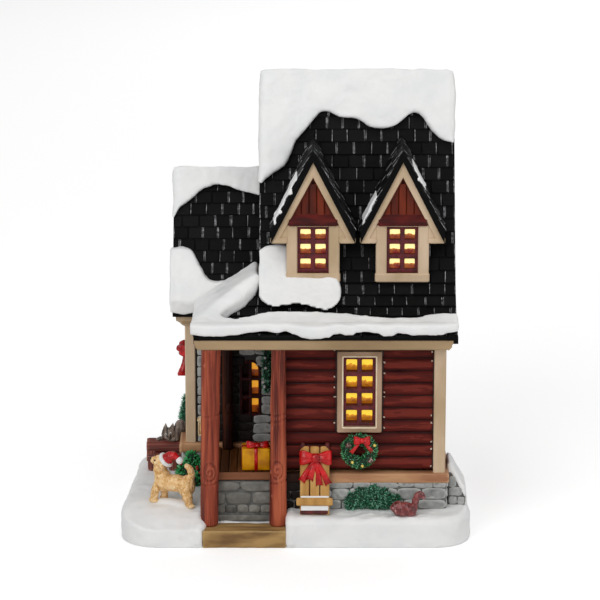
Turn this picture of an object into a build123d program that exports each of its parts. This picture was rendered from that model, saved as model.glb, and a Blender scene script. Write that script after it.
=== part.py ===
from build123d import *
import math
import os

# A lit village house of cast ceramic: a log cottage with a steep bell-cast roof and two dormers,
# a lower stone wing, an open porch in the corner between them, a snowy base with figures, and a
# battery lamp unit let into the underside.
# Lengths are millimetres. X runs to the right of the front, Y to the rear, Z up from the table.

# Cuts run this far past the faces that they open
cut_overrun = 1.0

# Base casting
base_width = 138.0
base_depth = 108.0
base_height = 12.0
base_front_left_radius = 15.0
base_front_right_radius = 14.0
base_rear_right_radius = 14.0
base_rear_left_radius = 40.0
base_rear_left_inset = 8.0
base_edge_round = 3.0
yard_slope_run = 14.0
yard_slope_drop = 4.6

# Ground plan of the house
right_yard = 10.5
front_yard = 13.0
main_width = 65.5
main_depth = 86.0
wing_width = 36.0
wing_depth = 46.0
porch_width = 28.5
porch_depth = 35.0
wall_thickness = 4.0

# Storey heights
foundation_height = 11.6
sill_height = 4.2
wall_height = 50.2
fascia_height = 3.6

# Stone foundations, timber sills and porch floor
foundation_proud = 1.0
sill_proud = 2.0
porch_skirt_thickness = 2.5
porch_floor_thickness = 2.7

# Front step between the porch posts
step_depth = 10.0
step_height = 7.0
step_end_margin = 0.3

# Log walls and the way through to the wing
log_pitch = 5.02
log_bulge = 0.8
passage_width = 26.0
passage_height = 44.0

# Corner boards and eave boards
corner_board_width = 4.2
corner_board_proud = 0.6
fascia_thickness = 3.5
fascia_setback = 2.0
fascia_end = 1.5

# Main roof: straight slopes, with the front one flared out over the porch
main_roof_rise = 88.4
ridge_setback = 49.0
front_eave_reach = 9.0
rear_eave_reach = 5.0
left_gable_overhang = 6.5
right_gable_overhang = 4.5
eave_edge = 2.6
flare_depth = 19.0
flare_rise = 21.4
ridge_shell = 9.0

# Wing roof
wing_roof_rise = 49.4
wing_ridge_setback = 22.0
wing_eave_reach = 6.0
wing_gable_overhang = 5.0
wing_ridge_shell = 7.0

# Hipped end of the roof over the porch
porch_eave_reach = 3.0
porch_hip_rise = 14.4

# Dormers
dormer_spacing = 34.7
dormer_width = 20.0
dormer_setback = 17.0
dormer_sill_rise = 18.4
dormer_surround_height = 22.5
dormer_surround_proud = 1.2
dormer_sash_width = 12.4
dormer_sash_height = 18.5
dormer_sash_rise = 3.2
dormer_gable_width = 31.4
dormer_gable_rise = 31.0
dormer_peak_rise = 66.0
dormer_barge_drop = 7.2
dormer_barge_thickness = 1.5
dormer_hood_height = 3.0
dormer_roof_width = 32.6
dormer_roof_cover = 4.6
dormer_roof_overhang = 2.0

# Framed windows in the log walls
window_frame_width = 17.4
window_frame_height = 32.8
window_frame_bar = 2.3
window_frame_proud = 1.8
window_frame_seat = 1.2
window_rise = 15.8
front_window_offset = -0.35
side_window_offset = 4.0

# Sashes and amber panes
sash_depth = 3.5
sash_back = 3.2
sash_stile = 1.3
sash_muntin = 1.8
pane_thickness = 0.7

# Arched window in the rear wall of the porch
arch_width = 8.4
arch_height = 23.6
arch_rise = 10.8
arch_inset = 6.3
arch_stile = 1.0
arch_muntin = 1.2

# Porch posts
left_post_inset = 3.2
left_post_foot_radius = 2.9
left_post_head_radius = 3.7
right_post_inset = 0.8
right_post_foot_radius = 2.9
right_post_head_radius = 2.7
rear_post_inset = 9.0
rear_post_radius = 2.1
post_knot_radius = 2.6
post_knot_proud = 0.7
post_knot_rise = 20.5

# Snow, as depths measured upright and lips past the roof edges
ridge_snow_depth = 8.0
eave_snow_depth = 4.2
eave_snow_lip = 1.8
eave_snow_hang = 1.0
foot_snow_depth = 5.0
wing_ridge_snow_depth = 5.2
wing_eave_snow_depth = 4.6
wing_snow_lip = 1.0
cap_snow_depth = 2.2

# Snow edges: across the roof from its left end, and down from its ridge, both as shares
ridge_snow_shares = [
    (-0.01, 0.41), (0.06, 0.35), (0.135, 0.305), (0.18, 0.225), (0.24, 0.16), (0.335, 0.09),
    (0.43, 0.12), (0.50, 0.125), (0.56, 0.155), (0.635, 0.165), (0.70, 0.155), (0.755, 0.115),
    (0.805, 0.095), (0.85, 0.13), (0.89, 0.18), (0.935, 0.21), (1.01, 0.225),
]
foot_snow_shares = [
    (-0.01, 0.68), (0.035, 0.66), (0.105, 0.65), (0.19, 0.66), (0.30, 0.70), (0.405, 0.80),
    (0.416, 0.845), (0.385, 0.875), (0.33, 0.885), (0.26, 0.875), (0.155, 0.87), (0.065, 0.875),
    (-0.01, 0.835),
]
wing_ridge_snow_shares = [
    (-0.01, 0.30), (0.055, 0.20), (0.165, 0.13), (0.28, 0.06), (0.38, 0.03), (0.505, 0.037), (1.01, 0.05),
]
wing_eave_snow_shares = [
    (-0.05, 0.51), (0.105, 0.485), (0.18, 0.505), (0.23, 0.57), (0.285, 0.655), (0.345, 0.715),
    (0.41, 0.73), (0.53, 0.715), (0.66, 0.685), (1.01, 0.655),
]
# Rear edge of the eave snow: across the whole eave, and back from its front edge to the flare's top
eave_snow_shares = [
    (1.02, 0.38), (0.93, 0.37), (0.81, 0.28), (0.70, 0.30), (0.55, 0.38), (0.40, 0.40), (0.25, 0.37),
    (0.14, 0.27), (0.105, 0.33), (0.17, 0.60), (0.24, 0.90),
]
# Snow on the dormers: which dormer, then the patch's ends across its half width from the ridge
cap_snow_shares = [(0, -0.93, -0.38), (1, -0.95, -0.62), (1, 0.22, 0.52)]
cap_snow_length_share = 0.5

# Stone buttress at the right side
buttress_width = 6.6
buttress_front_setback = 4.0
buttress_length = 14.0
buttress_height = 13.4
buttress_top_width = 1.1
buttress_shoulder_share = 0.26
buttress_snow_depth = 3.4

# Sled leaning on the front wall
sled_place_share = 0.232
sled_length = 27.0
sled_slat_width = 3.3
sled_slat_gap = 0.6
sled_slat_count = 3
sled_bar_shares = (0.18, 0.78)
sled_board_thickness = 1.1
sled_runner_height = 1.6
sled_runner_width = 1.1
sled_foot_reach = 3.6
sled_wall_gap = 0.3
sled_bow_size = 11.0

# Wreath below the front window
wreath_radius = 5.1
wreath_tube_radius = 2.5
wreath_bow_size = 6.0

# Greenery, figures and gift: overall height or length of each, and where it stands
shrub_height = 10.4
shrub_place_share = 0.58
squirrel_height = 9.8
squirrel_place_share = 0.785
squirrel_reach = 7.6
dog_height = 21.5
dog_reach = 8.5
dog_front_setback = 5.0
holly_height = 13.2
holly_reach = 5.6
holly_setback = 5.6
bench_length = 13.0
bench_depth = 8.6
bench_log_radius = 2.3
bench_log_spacing = 4.2
bench_seat_rise = 13.0
bench_wall_gap = 1.9
bench_setback = 14.0
cat_length = 9.8
cat_offset = 2.0
tree_height = 11.5
tree_setback = 26.0
wall_bow_size = 14.0
wall_bow_rise = 25.2
wall_bow_setback = 11.0
gift_size = 10.6
gift_height = 9.2
gift_turn = 2.0
gift_inset = 8.0
gift_setback = 8.4
gift_ribbon_width = 2.4
gift_ribbon_proud = 0.35
gift_bow_size = 6.5
gift_bow_sink = 0.8
swag_height = 19.0
swag_inset = 3.7
swag_rise = 20.5
lantern_width = 3.4
lantern_height = 6.4
lantern_rise = 3.4
lantern_cap_overhang = 0.5

# Turn of a lump's seam about its axis, in degrees, which keeps the seams of neighbours apart
lump_seam_turn = 110.0

# Egg-shaped lumps that make up the cast figures, all as shares of the figure's size:
# where the lump lies, which way its long axis runs, its half length and its half breadth
dog_shares = [
    ((0.02, 0.0, 0.45), (1.0, 0.0, -0.12), 0.34, 0.165),
    ((-0.22, 0.0, 0.47), (0.3, 0.0, 1.0), 0.22, 0.17),
    ((0.24, 0.0, 0.38), (0.1, 0.0, 1.0), 0.21, 0.16),
    ((-0.31, 0.0, 0.63), (-0.5, 0.0, 1.0), 0.20, 0.115),
    ((-0.36, 0.0, 0.77), (1.0, 0.0, 0.0), 0.15, 0.135),
    ((-0.50, 0.0, 0.77), (1.0, 0.0, -0.35), 0.12, 0.07),
    ((-0.27, -0.075, 0.18), (0.0, 0.0, 1.0), 0.20, 0.065),
    ((-0.20, 0.075, 0.18), (0.0, 0.0, 1.0), 0.20, 0.065),
    ((0.24, -0.08, 0.16), (0.15, 0.0, 1.0), 0.18, 0.07),
    ((0.31, 0.08, 0.16), (0.15, 0.0, 1.0), 0.18, 0.07),
    ((0.38, 0.0, 0.62), (0.3, 0.0, 1.0), 0.20, 0.055),
    ((-0.30, 0.0, 0.875), (0.6, 0.0, 1.0), 0.12, 0.115),
    ((-0.16, 0.0, 0.90), (1.0, 0.0, -0.25), 0.14, 0.065),
    ((-0.04, 0.0, 0.85), (1.0, 0.0, 0.0), 0.055, 0.055),
]
cat_shares = [
    ((0.05, 0.0, 0.19), (1.0, 0.0, 0.0), 0.42, 0.20),
    ((0.25, 0.0, 0.20), (0.0, 0.0, 1.0), 0.22, 0.19),
    ((-0.33, -0.05, 0.36), (1.0, 0.0, 0.0), 0.15, 0.14),
    ((-0.30, -0.12, 0.49), (0.0, 0.0, 1.0), 0.08, 0.045),
    ((-0.30, 0.02, 0.49), (0.0, 0.0, 1.0), 0.08, 0.045),
    ((-0.32, -0.07, 0.12), (1.0, 0.0, 0.0), 0.16, 0.10),
]
squirrel_shares = [
    ((-0.10, 0.0, 0.32), (1.0, 0.0, 0.35), 0.42, 0.23),
    ((-0.02, 0.0, 0.22), (1.0, 0.0, 0.0), 0.28, 0.22),
    ((-0.46, 0.0, 0.34), (1.0, 0.0, 0.3), 0.19, 0.15),
    ((-0.40, 0.0, 0.48), (0.0, 0.0, 1.0), 0.10, 0.05),
    ((-0.34, 0.0, 0.10), (1.0, 0.0, 0.0), 0.24, 0.09),
    ((0.32, 0.0, 0.42), (0.35, 0.0, 1.0), 0.38, 0.17),
    ((0.46, 0.0, 0.76), (0.5, 0.0, 1.0), 0.23, 0.16),
]
shrub_shares = [
    ((-0.80, 0.0, 0.30), (0.0, 0.0, 1.0), 0.38, 0.30),
    ((-0.42, 0.0, 0.48), (0.0, 0.0, 1.0), 0.48, 0.32),
    ((0.0, 0.0, 0.50), (0.0, 0.0, 1.0), 0.50, 0.34),
    ((0.42, 0.0, 0.42), (0.0, 0.0, 1.0), 0.46, 0.32),
    ((0.80, 0.0, 0.28), (0.0, 0.0, 1.0), 0.36, 0.28),
]
holly_shares = [
    ((-0.16, 0.0, 0.30), (0.0, 0.0, 1.0), 0.36, 0.26),
    ((0.16, -0.06, 0.28), (0.0, 0.0, 1.0), 0.34, 0.25),
    ((0.02, 0.10, 0.48), (0.0, 0.0, 1.0), 0.40, 0.26),
    ((0.0, 0.0, 0.76), (0.0, 0.0, 1.0), 0.24, 0.17),
]
tree_shares = [
    ((0.0, -0.12, 0.20), (0.0, 0.0, 1.0), 0.24, 0.22),
    ((0.0, 0.14, 0.22), (0.0, 0.0, 1.0), 0.24, 0.22),
    ((0.0, 0.0, 0.46), (0.0, 0.0, 1.0), 0.28, 0.19),
    ((0.0, 0.0, 0.76), (0.0, 0.0, 1.0), 0.24, 0.12),
]
swag_shares = [
    ((0.0, 0.0, 0.86), (0.0, 0.0, 1.0), 0.14, 0.080),
    ((0.0, 0.0, 0.64), (0.0, 0.0, 1.0), 0.18, 0.095),
    ((0.0, 0.0, 0.40), (0.0, 0.0, 1.0), 0.18, 0.090),
    ((0.0, 0.0, 0.17), (0.0, 0.0, 1.0), 0.17, 0.070),
]
bow_shares = [
    ((0.0, 0.0, 0.63), (1.0, 0.0, 0.0), 0.15, 0.14),
    ((-0.24, 0.0, 0.72), (1.0, 0.0, -0.45), 0.23, 0.12),
    ((0.24, 0.0, 0.72), (1.0, 0.0, 0.45), 0.23, 0.12),
    ((-0.13, 0.0, 0.32), (0.4, 0.0, 1.0), 0.32, 0.085),
    ((0.13, 0.0, 0.32), (-0.4, 0.0, 1.0), 0.32, 0.085),
]

# Bottom plate, and the recess for it in the underside of the base
plate_recess = 2.0
plate_thickness = 3.0
plate_ledge = 6.0
plate_side_gap = 0.4
plate_screw_inset = 3.2
screw_head_radius = 2.2
screw_head_height = 1.3
screw_shank_radius = 1.1
screw_length = 8.0

# Battery tray, cells and contacts
cell_count = 3
cell_diameter = 14.5
cell_length = 49.5
cell_nub_radius = 2.7
cell_nub_length = 1.0
cell_side_gap = 0.5
cell_door_gap = 0.3
cell_top_gap = 0.4
contact_room = 2.2
contact_thickness = 0.4
contact_width = 9.0
contact_height = 9.0
contact_dome_radius = 2.0
contact_dome_height = 1.4
tray_wall = 1.6
tray_front_gap = 1.6

# Hinged battery door
door_thickness = 2.4
door_side_gap = 0.3
door_pin_radius = 0.8
door_pin_clearance = 0.06
door_pin_length = 2.0
door_latch_width = 12.0
door_latch_reach = 2.0
door_latch_thickness = 1.2

# Slide switch
switch_length = 9.0
switch_width = 4.6
switch_height = 4.8
switch_travel = 2.5
switch_knob_length = 2.4
switch_knob_width = 2.6
switch_knob_tip_rise = 0.6
switch_knob_depth = 2.0
switch_knob_gap = 0.3
switch_tray_gap = 4.0

# Lamp board and leads
board_length = 26.0
board_width = 18.0
board_thickness = 1.2
lamp_radius = 2.5
lamp_height = 8.6
lamp_spacing = 14.0
wire_radius = 0.6
wire_spacing = 2.4
wire_bend = 2.7
wire_board_inset = 3.0
wire_lift = 4.0

# Lines of the plan worked out from the dimensions above
main_right = base_width / 2 - right_yard
main_left = main_right - main_width
main_centre_x = (main_left + main_right) / 2
main_front = front_yard - base_depth / 2
main_rear = main_front + main_depth
wing_left = main_left - wing_width
wing_front = main_front + porch_depth
wing_rear = wing_front + wing_depth
porch_left = main_left - porch_width
roof_left = main_left - left_gable_overhang
roof_right = main_right + right_gable_overhang
roof_width = roof_right - roof_left
roof_centre_x = (roof_left + roof_right) / 2
front_eave_y = main_front - front_eave_reach
rear_eave_y = main_rear + rear_eave_reach
ridge_y = main_front + ridge_setback
flare_y = main_front + flare_depth
wing_roof_left = wing_left - wing_gable_overhang
wing_roof_width = main_left - wing_roof_left
wing_eave_y = wing_front - wing_eave_reach
wing_rear_eave_y = wing_rear + wing_eave_reach
wing_ridge_y = wing_front + wing_ridge_setback
porch_eave_x = porch_left - porch_eave_reach
dormer_front_y = main_front + dormer_setback
dormer_centres = [roof_centre_x - dormer_spacing / 2, roof_centre_x + dormer_spacing / 2]
fascia_front_y = front_eave_y + fascia_setback
post_y = fascia_front_y + fascia_thickness / 2
left_post_x = porch_left + left_post_inset
right_post_x = main_left + right_post_inset
step_left = left_post_x - left_post_foot_radius - step_end_margin
step_right = right_post_x + right_post_foot_radius + step_end_margin
foundation_front_y = main_front - foundation_proud

# Levels worked out from the dimensions above
ground_z = base_height
sill_z = ground_z + foundation_height
wall_z = sill_z + sill_height
fascia_z = wall_z + wall_height
eave_z = fascia_z + fascia_height
eave_top_z = eave_z + eave_edge
flare_z = eave_z + flare_rise
ridge_z = eave_z + main_roof_rise
wing_ridge_z = eave_z + wing_roof_rise
porch_floor_z = sill_z + porch_floor_thickness
dormer_sill_z = eave_z + dormer_sill_rise
dormer_sash_z = dormer_sill_z + dormer_sash_rise
dormer_peak_z = eave_z + dormer_peak_rise
dormer_slope = dormer_gable_rise / (dormer_gable_width / 2)
plate_z = plate_recess
plate_top_z = plate_recess + plate_thickness

# Inner faces of the roof shells, where the attics stand over the rooms
main_roof_slope = (ridge_z - flare_z) / (ridge_y - flare_y)
attic_front_y = ridge_y - (main_roof_rise - ridge_shell) / main_roof_slope
attic_rear_y = main_rear - wall_thickness
main_attic = [(attic_front_y, eave_z), (ridge_y, ridge_z - ridge_shell), (attic_rear_y, eave_z)]
wing_attic = [
    (wing_front + wall_thickness, eave_z),
    (wing_ridge_y, wing_ridge_z - wing_ridge_shell),
    (wing_rear - wall_thickness, eave_z),
]

# Battery compartment, worked out from the cells
tray_inner_width = cell_count * (cell_diameter + cell_side_gap)
tray_inner_length = cell_length + cell_nub_length + 2 * contact_room
tray_left = main_centre_x - tray_inner_width / 2
tray_right = main_centre_x + tray_inner_width / 2
room_front_y = main_front + wall_thickness + plate_ledge / 2
room_rear_y = main_rear - wall_thickness - plate_ledge / 2
tray_front = room_front_y + tray_front_gap + tray_wall
tray_rear = tray_front + tray_inner_length
door_top_z = plate_z + door_thickness
cell_z = door_top_z + cell_door_gap + cell_diameter / 2
tray_inner_top_z = cell_z + cell_diameter / 2 + cell_top_gap
tray_top_z = tray_inner_top_z + tray_wall
hinge_y = tray_front + door_side_gap + door_thickness / 2
hinge_z = plate_z + door_thickness / 2
switch_y = tray_rear + tray_wall + switch_tray_gap
switch_top_z = plate_top_z + switch_height


def block(low, high):
    """Box between two opposite corners."""
    size = [b - a for a, b in zip(low, high)]
    return Pos(*low) * Box(*size, align=(Align.MIN, Align.MIN, Align.MIN))


def prism(edges, travel):
    """Solid swept straight from the closed outline that the edges make."""
    return Solid.extrude(Face(Wire(edges)), Vector(*travel))


def prism_x(points, x_low, x_high):
    """Solid with a (y, z) section, between two x places."""
    outline = Polyline(*[(x_low, y, z) for y, z in points], close=True)
    return prism(outline.edges(), (x_high - x_low, 0, 0))


def prism_y(points, y_low, y_high):
    """Solid with an (x, z) section, between two y places."""
    outline = Polyline(*[(x, y_low, z) for x, z in points], close=True)
    return prism(outline.edges(), (0, y_high - y_low, 0))


def soft_prism_y(points, corners, y_low, y_high):
    """Solid between two y places whose (x, z) section has a wavy edge and straight far sides."""
    wave = [(x, y_low, z) for x, z in points]
    far = [(x, y_low, z) for x, z in corners]
    straights = Polyline(wave[-1], *far, wave[0])
    return prism([Spline(*wave), *straights.edges()], (0, y_high - y_low, 0))


def ring(low, high, inner_low, inner_high):
    """Upright rectangular ring between two plan corners, with a rectangular hole."""
    bottom = low[2] - cut_overrun
    top = high[2] + cut_overrun
    return block(low, high) - block((*inner_low, bottom), (*inner_high, top))


def egg(place, axis, half_length, half_breadth):
    """Round lump, a ball drawn out along an axis through its middle, with its seam turned aside."""
    lump = scale(Sphere(1.0), by=(half_breadth, half_breadth, half_length))
    return Plane(origin=place, z_dir=axis).location * Rot(0, 0, lump_seam_turn) * lump


def cluster(place, size, shares, turn=0):
    """Cast figure made of egg-shaped lumps, given as shares of its size, turned about the upright."""
    spot = Pos(*place) * Rot(0, 0, turn)
    lumps = []
    for (x, y, z), axis, half_length, half_breadth in shares:
        centre = (x * size, y * size, z * size)
        lumps.append(egg(centre, axis, half_length * size, half_breadth * size))
    return spot * (lumps[0].fuse(*lumps[1:]))


def room_above(z):
    """Everything over a level, as wide as the base."""
    half_width = base_width / 2
    half_depth = base_depth / 2
    return block((-half_width, -half_depth, z), (half_width, half_depth, z + ridge_z))


def room_before(y):
    """Everything in front of an upright plane, as wide and as high as the house."""
    half_width = base_width / 2
    return block((-half_width, y - base_depth, 0), (half_width, y, 2 * ridge_z))


def wall_place(x, y, z, outward, across):
    """Place on a wall: local X runs along the wall, local Y up it and local Z out of it."""
    return Plane(origin=(x, y, z), x_dir=across, z_dir=outward).location


def slab(place, width, height, back, front):
    """Flat panel on a wall, standing on the place's origin, from one depth to another."""
    panel = Box(width, height, front - back, align=(Align.CENTER, Align.MIN, Align.MIN))
    return place * Pos(0, 0, back) * panel


def sash(place, width, height, columns, rows):
    """Glazed window leaf with a grid of lights cut through it."""
    leaf = slab(place, width, height, -sash_back, sash_depth - sash_back)
    light_width = (width - 2 * sash_stile - (columns - 1) * sash_muntin) / columns
    light_height = (height - 2 * sash_stile - (rows - 1) * sash_muntin) / rows
    for column in range(columns):
        across = (column - (columns - 1) / 2) * (light_width + sash_muntin)
        for row in range(rows):
            up = sash_stile + row * (light_height + sash_muntin)
            light = slab(place * Pos(across, up, 0), light_width, light_height,
                         -sash_back - cut_overrun, sash_depth + cut_overrun)
            leaf = leaf - light
    return leaf


def pane(place, width, height):
    """Amber sheet against the back of a sash."""
    return slab(place, width, height, -sash_back - pane_thickness, -sash_back)


def base_outline():
    """Plan of the base, with four different corner sweeps and the left side drawn in to the rear."""
    half_width = base_width / 2
    half_depth = base_depth / 2
    corners = [
        (-half_width, -half_depth),
        (half_width, -half_depth),
        (half_width, half_depth),
        (base_rear_left_inset - half_width, half_depth),
    ]
    radii = [
        base_front_left_radius,
        base_front_right_radius,
        base_rear_right_radius,
        base_rear_left_radius,
    ]
    return FilletPolyline(*corners, radius=radii, close=True)


def screw_places():
    """Plan places of the four plate screws, on the ledge around the way into the house."""
    inset = wall_thickness - plate_ledge / 2 + plate_screw_inset
    xs = (main_left + inset, main_right - inset)
    ys = (main_front + inset, main_rear - inset)
    return [(x, y) for x in xs for y in ys]


def plate_corners(gap):
    """Plan corners of the bottom plate, drawn in by a gap all round."""
    edge = wall_thickness - plate_ledge / 2 + gap
    return (main_left + edge, main_front + edge), (main_right - edge, main_rear - edge)


def base_plinth():
    """Snowy base with soft edges, a sloping left yard, the step's notch, and the lamp unit's recess."""
    body = prism(base_outline().edges(), (0, 0, base_height))
    rim = body.faces().sort_by(Axis.Z)[-1].outer_wire().edges()
    body = fillet(rim, base_edge_round)
    front = -base_depth / 2
    above = ground_z + cut_overrun
    slope = [
        (front + yard_slope_run, ground_z),
        (front - yard_slope_run, ground_z - 2 * yard_slope_drop),
        (front - yard_slope_run, above),
        (front + yard_slope_run, above),
    ]
    body = body - prism_x(slope, -base_width, step_left)
    notch_low = (step_left, front - cut_overrun, step_height)
    body = body - block(notch_low, (step_right, foundation_front_y, above))
    step_low = (step_left, front - cut_overrun, -cut_overrun)
    body = body - block(step_low, (step_right, front + step_depth, above))
    skirt_rear = foundation_front_y + porch_skirt_thickness
    skirt_right = main_left - foundation_proud
    skirt_high = (skirt_right, skirt_rear, above)
    body = body - block((porch_left, foundation_front_y, step_height), skirt_high)
    recess_low, recess_high = plate_corners(0)
    body = body - block((*recess_low, -cut_overrun), (*recess_high, plate_top_z))
    inset = wall_thickness + plate_ledge / 2
    room_low = (main_left + inset, room_front_y, 0)
    body = body - block(room_low, (main_right - inset, room_rear_y, above))
    for x, y in screw_places():
        pilot = Cylinder(screw_shank_radius, screw_length, align=(Align.CENTER, Align.CENTER, Align.MIN))
        body = body - Pos(x, y, plate_z) * pilot
    return body


def front_step():
    """Timber-brown step let into the front edge of the base."""
    front = -base_depth / 2
    return block((step_left, front, 0), (step_right, front + step_depth, step_height))


def main_ring(proud, z_low, z_high):
    """Course of the main block, proud of the log face by so much, open in the middle."""
    low = (main_left - proud, main_front - proud, z_low)
    high = (main_right + proud, main_rear + proud, z_high)
    inner_low = (main_left + wall_thickness, main_front + wall_thickness)
    inner_high = (main_right - wall_thickness, main_rear - wall_thickness)
    return ring(low, high, inner_low, inner_high)


def wing_ring(proud, z_low, z_high):
    """Course of the wing, proud of its wall face by so much, open towards the main block."""
    low = (wing_left - proud, wing_front - proud, z_low)
    high = (main_left - proud, wing_rear + proud, z_high)
    inner_low = (wing_left + wall_thickness, wing_front + wall_thickness)
    inner_high = (main_left + cut_overrun, wing_rear - wall_thickness)
    return ring(low, high, inner_low, inner_high)


def porch_foundation():
    """Stone block under the porch floor, with a skirt that runs down behind the step."""
    low = (porch_left, foundation_front_y, ground_z)
    high = (main_left - foundation_proud, wing_front - foundation_proud, sill_z)
    skirt_rear = foundation_front_y + porch_skirt_thickness
    skirt = block((porch_left, foundation_front_y, step_height), (high[0], skirt_rear, ground_z))
    return block(low, high) + skirt


def porch_floor():
    """Plank floor of the porch, between the two sills."""
    low = (porch_left, main_front - sill_proud / 2, sill_z)
    return block(low, (main_left - sill_proud, wing_front - sill_proud, porch_floor_z))


def log_section(face, inward, place, count):
    """Closed (depth, height) outline of a stack of logs: flat inside and rounded outside."""
    groove = face + inward * log_bulge
    inner = face + inward * wall_thickness
    top = wall_z + count * log_pitch
    edges = []
    for course in range(count):
        low = wall_z + course * log_pitch
        start = place(groove, low)
        middle = place(face, low + log_pitch / 2)
        edges.append(ThreePointArc(start, middle, place(groove, low + log_pitch)))
    back = Polyline(place(groove, top), place(inner, top), place(inner, wall_z), place(groove, wall_z))
    return edges + list(back.edges())


def log_courses(height):
    """Number of whole logs that fill a height."""
    return max(1, math.ceil(height / log_pitch))


def log_wall_along_x(face, inward):
    """Front or rear log wall, up to the eave."""
    edges = log_section(face, inward, lambda d, z: (main_left, d, z), log_courses(eave_z - wall_z))
    return prism(edges, (main_width, 0, 0)) - room_above(eave_z)


def log_wall_along_y(face, inward):
    """Left or right log wall, with its gable up under the roof."""
    edges = log_section(face, inward, lambda d, z: (d, main_front, z), log_courses(ridge_z - wall_z))
    logs = prism(edges, (0, main_depth, 0))
    x_low = main_left - cut_overrun
    x_high = main_right + cut_overrun
    storey = block((x_low, main_front, wall_z), (x_high, main_rear, eave_z))
    return logs & (storey + prism_x(main_attic, x_low, x_high))


def corner_boards():
    """Upright boards that wrap the free corners of the main block and the wing."""
    boards = []
    corners = [
        (main_right, main_front, -1, 1),
        (main_right, main_rear, -1, -1),
        (main_left, main_rear, 1, -1),
        (wing_left, wing_front, 1, 1),
        (wing_left, wing_rear, 1, -1),
    ]
    for x, y, towards_x, towards_y in corners:
        outer = (x - towards_x * corner_board_proud, y - towards_y * corner_board_proud)
        inner = (x + towards_x * corner_board_width, y + towards_y * corner_board_width)
        low = (min(outer[0], inner[0]), min(outer[1], inner[1]), wall_z)
        high = (max(outer[0], inner[0]), max(outer[1], inner[1]), fascia_z)
        square = block(low, high)
        room_low = (x + towards_x * corner_board_proud, y + towards_y * corner_board_proud)
        far = (x + towards_x * 2 * corner_board_width, y + towards_y * 2 * corner_board_width)
        cut_low = (min(room_low[0], far[0]), min(room_low[1], far[1]), wall_z - cut_overrun)
        cut_high = (max(room_low[0], far[0]), max(room_low[1], far[1]), fascia_z + cut_overrun)
        boards.append(square - block(cut_low, cut_high))
    return boards


def eave_boards():
    """Level boards under the eaves: the porch beam, and one on each other long wall."""
    beam_low = (porch_left - fascia_end, fascia_front_y, fascia_z)
    beam_high = (main_right + fascia_end, fascia_front_y + fascia_thickness, eave_z)
    wing_low = (wing_left - fascia_end, wing_front - fascia_thickness, fascia_z)
    wing_rear_low = (wing_left - fascia_end, wing_rear, fascia_z)
    rear_low = (main_left - fascia_end, main_rear, fascia_z)
    return [
        block(beam_low, beam_high),
        block(wing_low, (main_left, wing_front, eave_z)),
        block(wing_rear_low, (main_left, wing_rear + fascia_thickness, eave_z)),
        block(rear_low, (main_right + fascia_end, main_rear + fascia_thickness, eave_z)),
    ]


def roof_section(x_low, x_high):
    """Main roof without its attic: bell-cast front slope, straight rear slope, level soffit."""
    flare = (x_low, flare_y, flare_z)
    ridge = (x_low, ridge_y, ridge_z)
    front_top = (x_low, front_eave_y, eave_top_z)
    down_slope = (0, flare_y - ridge_y, flare_z - ridge_z)
    rest = Polyline(
        front_top,
        (x_low, front_eave_y, eave_z),
        (x_low, rear_eave_y, eave_z),
        (x_low, rear_eave_y, eave_top_z),
        ridge,
        flare,
    )
    edges = [TangentArc(flare, front_top, tangent=down_slope), *rest.edges()]
    return prism(edges, (x_high - x_low, 0, 0))


def wing_roof_section():
    """Wing roof without its attic."""
    points = [
        (wing_eave_y, eave_z),
        (wing_eave_y, eave_top_z),
        (wing_ridge_y, wing_ridge_z),
        (wing_rear_eave_y, eave_top_z),
        (wing_rear_eave_y, eave_z),
    ]
    return prism_x(points, wing_roof_left, main_left)


def porch_roof(wing_body):
    """Hipped end of the flared roof over the porch, scribed to the wing roof."""
    hip = [
        (porch_eave_x, eave_z),
        (porch_eave_x, eave_top_z),
        (roof_left, eave_top_z + porch_hip_rise),
        (roof_left, eave_z),
    ]
    hip_body = prism_y(hip, front_eave_y, wing_ridge_y)
    return (hip_body & roof_section(porch_eave_x, roof_left)) - wing_body


def dormer_tunnel(centre_x):
    """Way from a dormer's sash back into the attic."""
    place = wall_place(centre_x, dormer_front_y, dormer_sash_z, (0, -1, 0), (1, 0, 0))
    depth = ridge_y - dormer_front_y
    front = dormer_surround_proud + cut_overrun
    return slab(place, dormer_sash_width, dormer_sash_height, -depth, front)


def dormer_casting(centre_x, roof_body):
    """Dormer front and cheeks: window surround, plank gable, hood and barge boards in one casting."""
    half = dormer_width / 2
    shoulder_z = dormer_peak_z - half * dormer_slope
    outline = [
        (centre_x - half, dormer_sill_z),
        (centre_x - half, shoulder_z),
        (centre_x, dormer_peak_z),
        (centre_x + half, shoulder_z),
        (centre_x + half, dormer_sill_z),
    ]
    body = prism_y(outline, dormer_front_y, ridge_y) - roof_body
    front_place = wall_place(centre_x, dormer_front_y, dormer_sill_z, (0, -1, 0), (1, 0, 0))
    body = body + slab(front_place, dormer_width, dormer_surround_height, 0, dormer_surround_proud)
    foot = dormer_gable_width / 2
    foot_z = dormer_peak_z - dormer_gable_rise
    inner_foot = foot - dormer_barge_drop / dormer_slope
    barge = [
        (centre_x - foot, foot_z),
        (centre_x, dormer_peak_z),
        (centre_x + foot, foot_z),
        (centre_x + inner_foot, foot_z),
        (centre_x, dormer_peak_z - dormer_barge_drop),
        (centre_x - inner_foot, foot_z),
    ]
    body = body + prism_y(barge, dormer_front_y - dormer_barge_thickness, dormer_front_y)
    hood_z = dormer_sill_z + dormer_surround_height
    hood_half = (dormer_peak_z - dormer_barge_drop - hood_z) / dormer_slope
    hood_place = wall_place(centre_x, dormer_front_y, hood_z, (0, -1, 0), (1, 0, 0))
    hood = slab(hood_place, 2 * hood_half, dormer_hood_height, 0, dormer_barge_thickness)
    return (body + hood) - roof_body - dormer_tunnel(centre_x)


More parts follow.
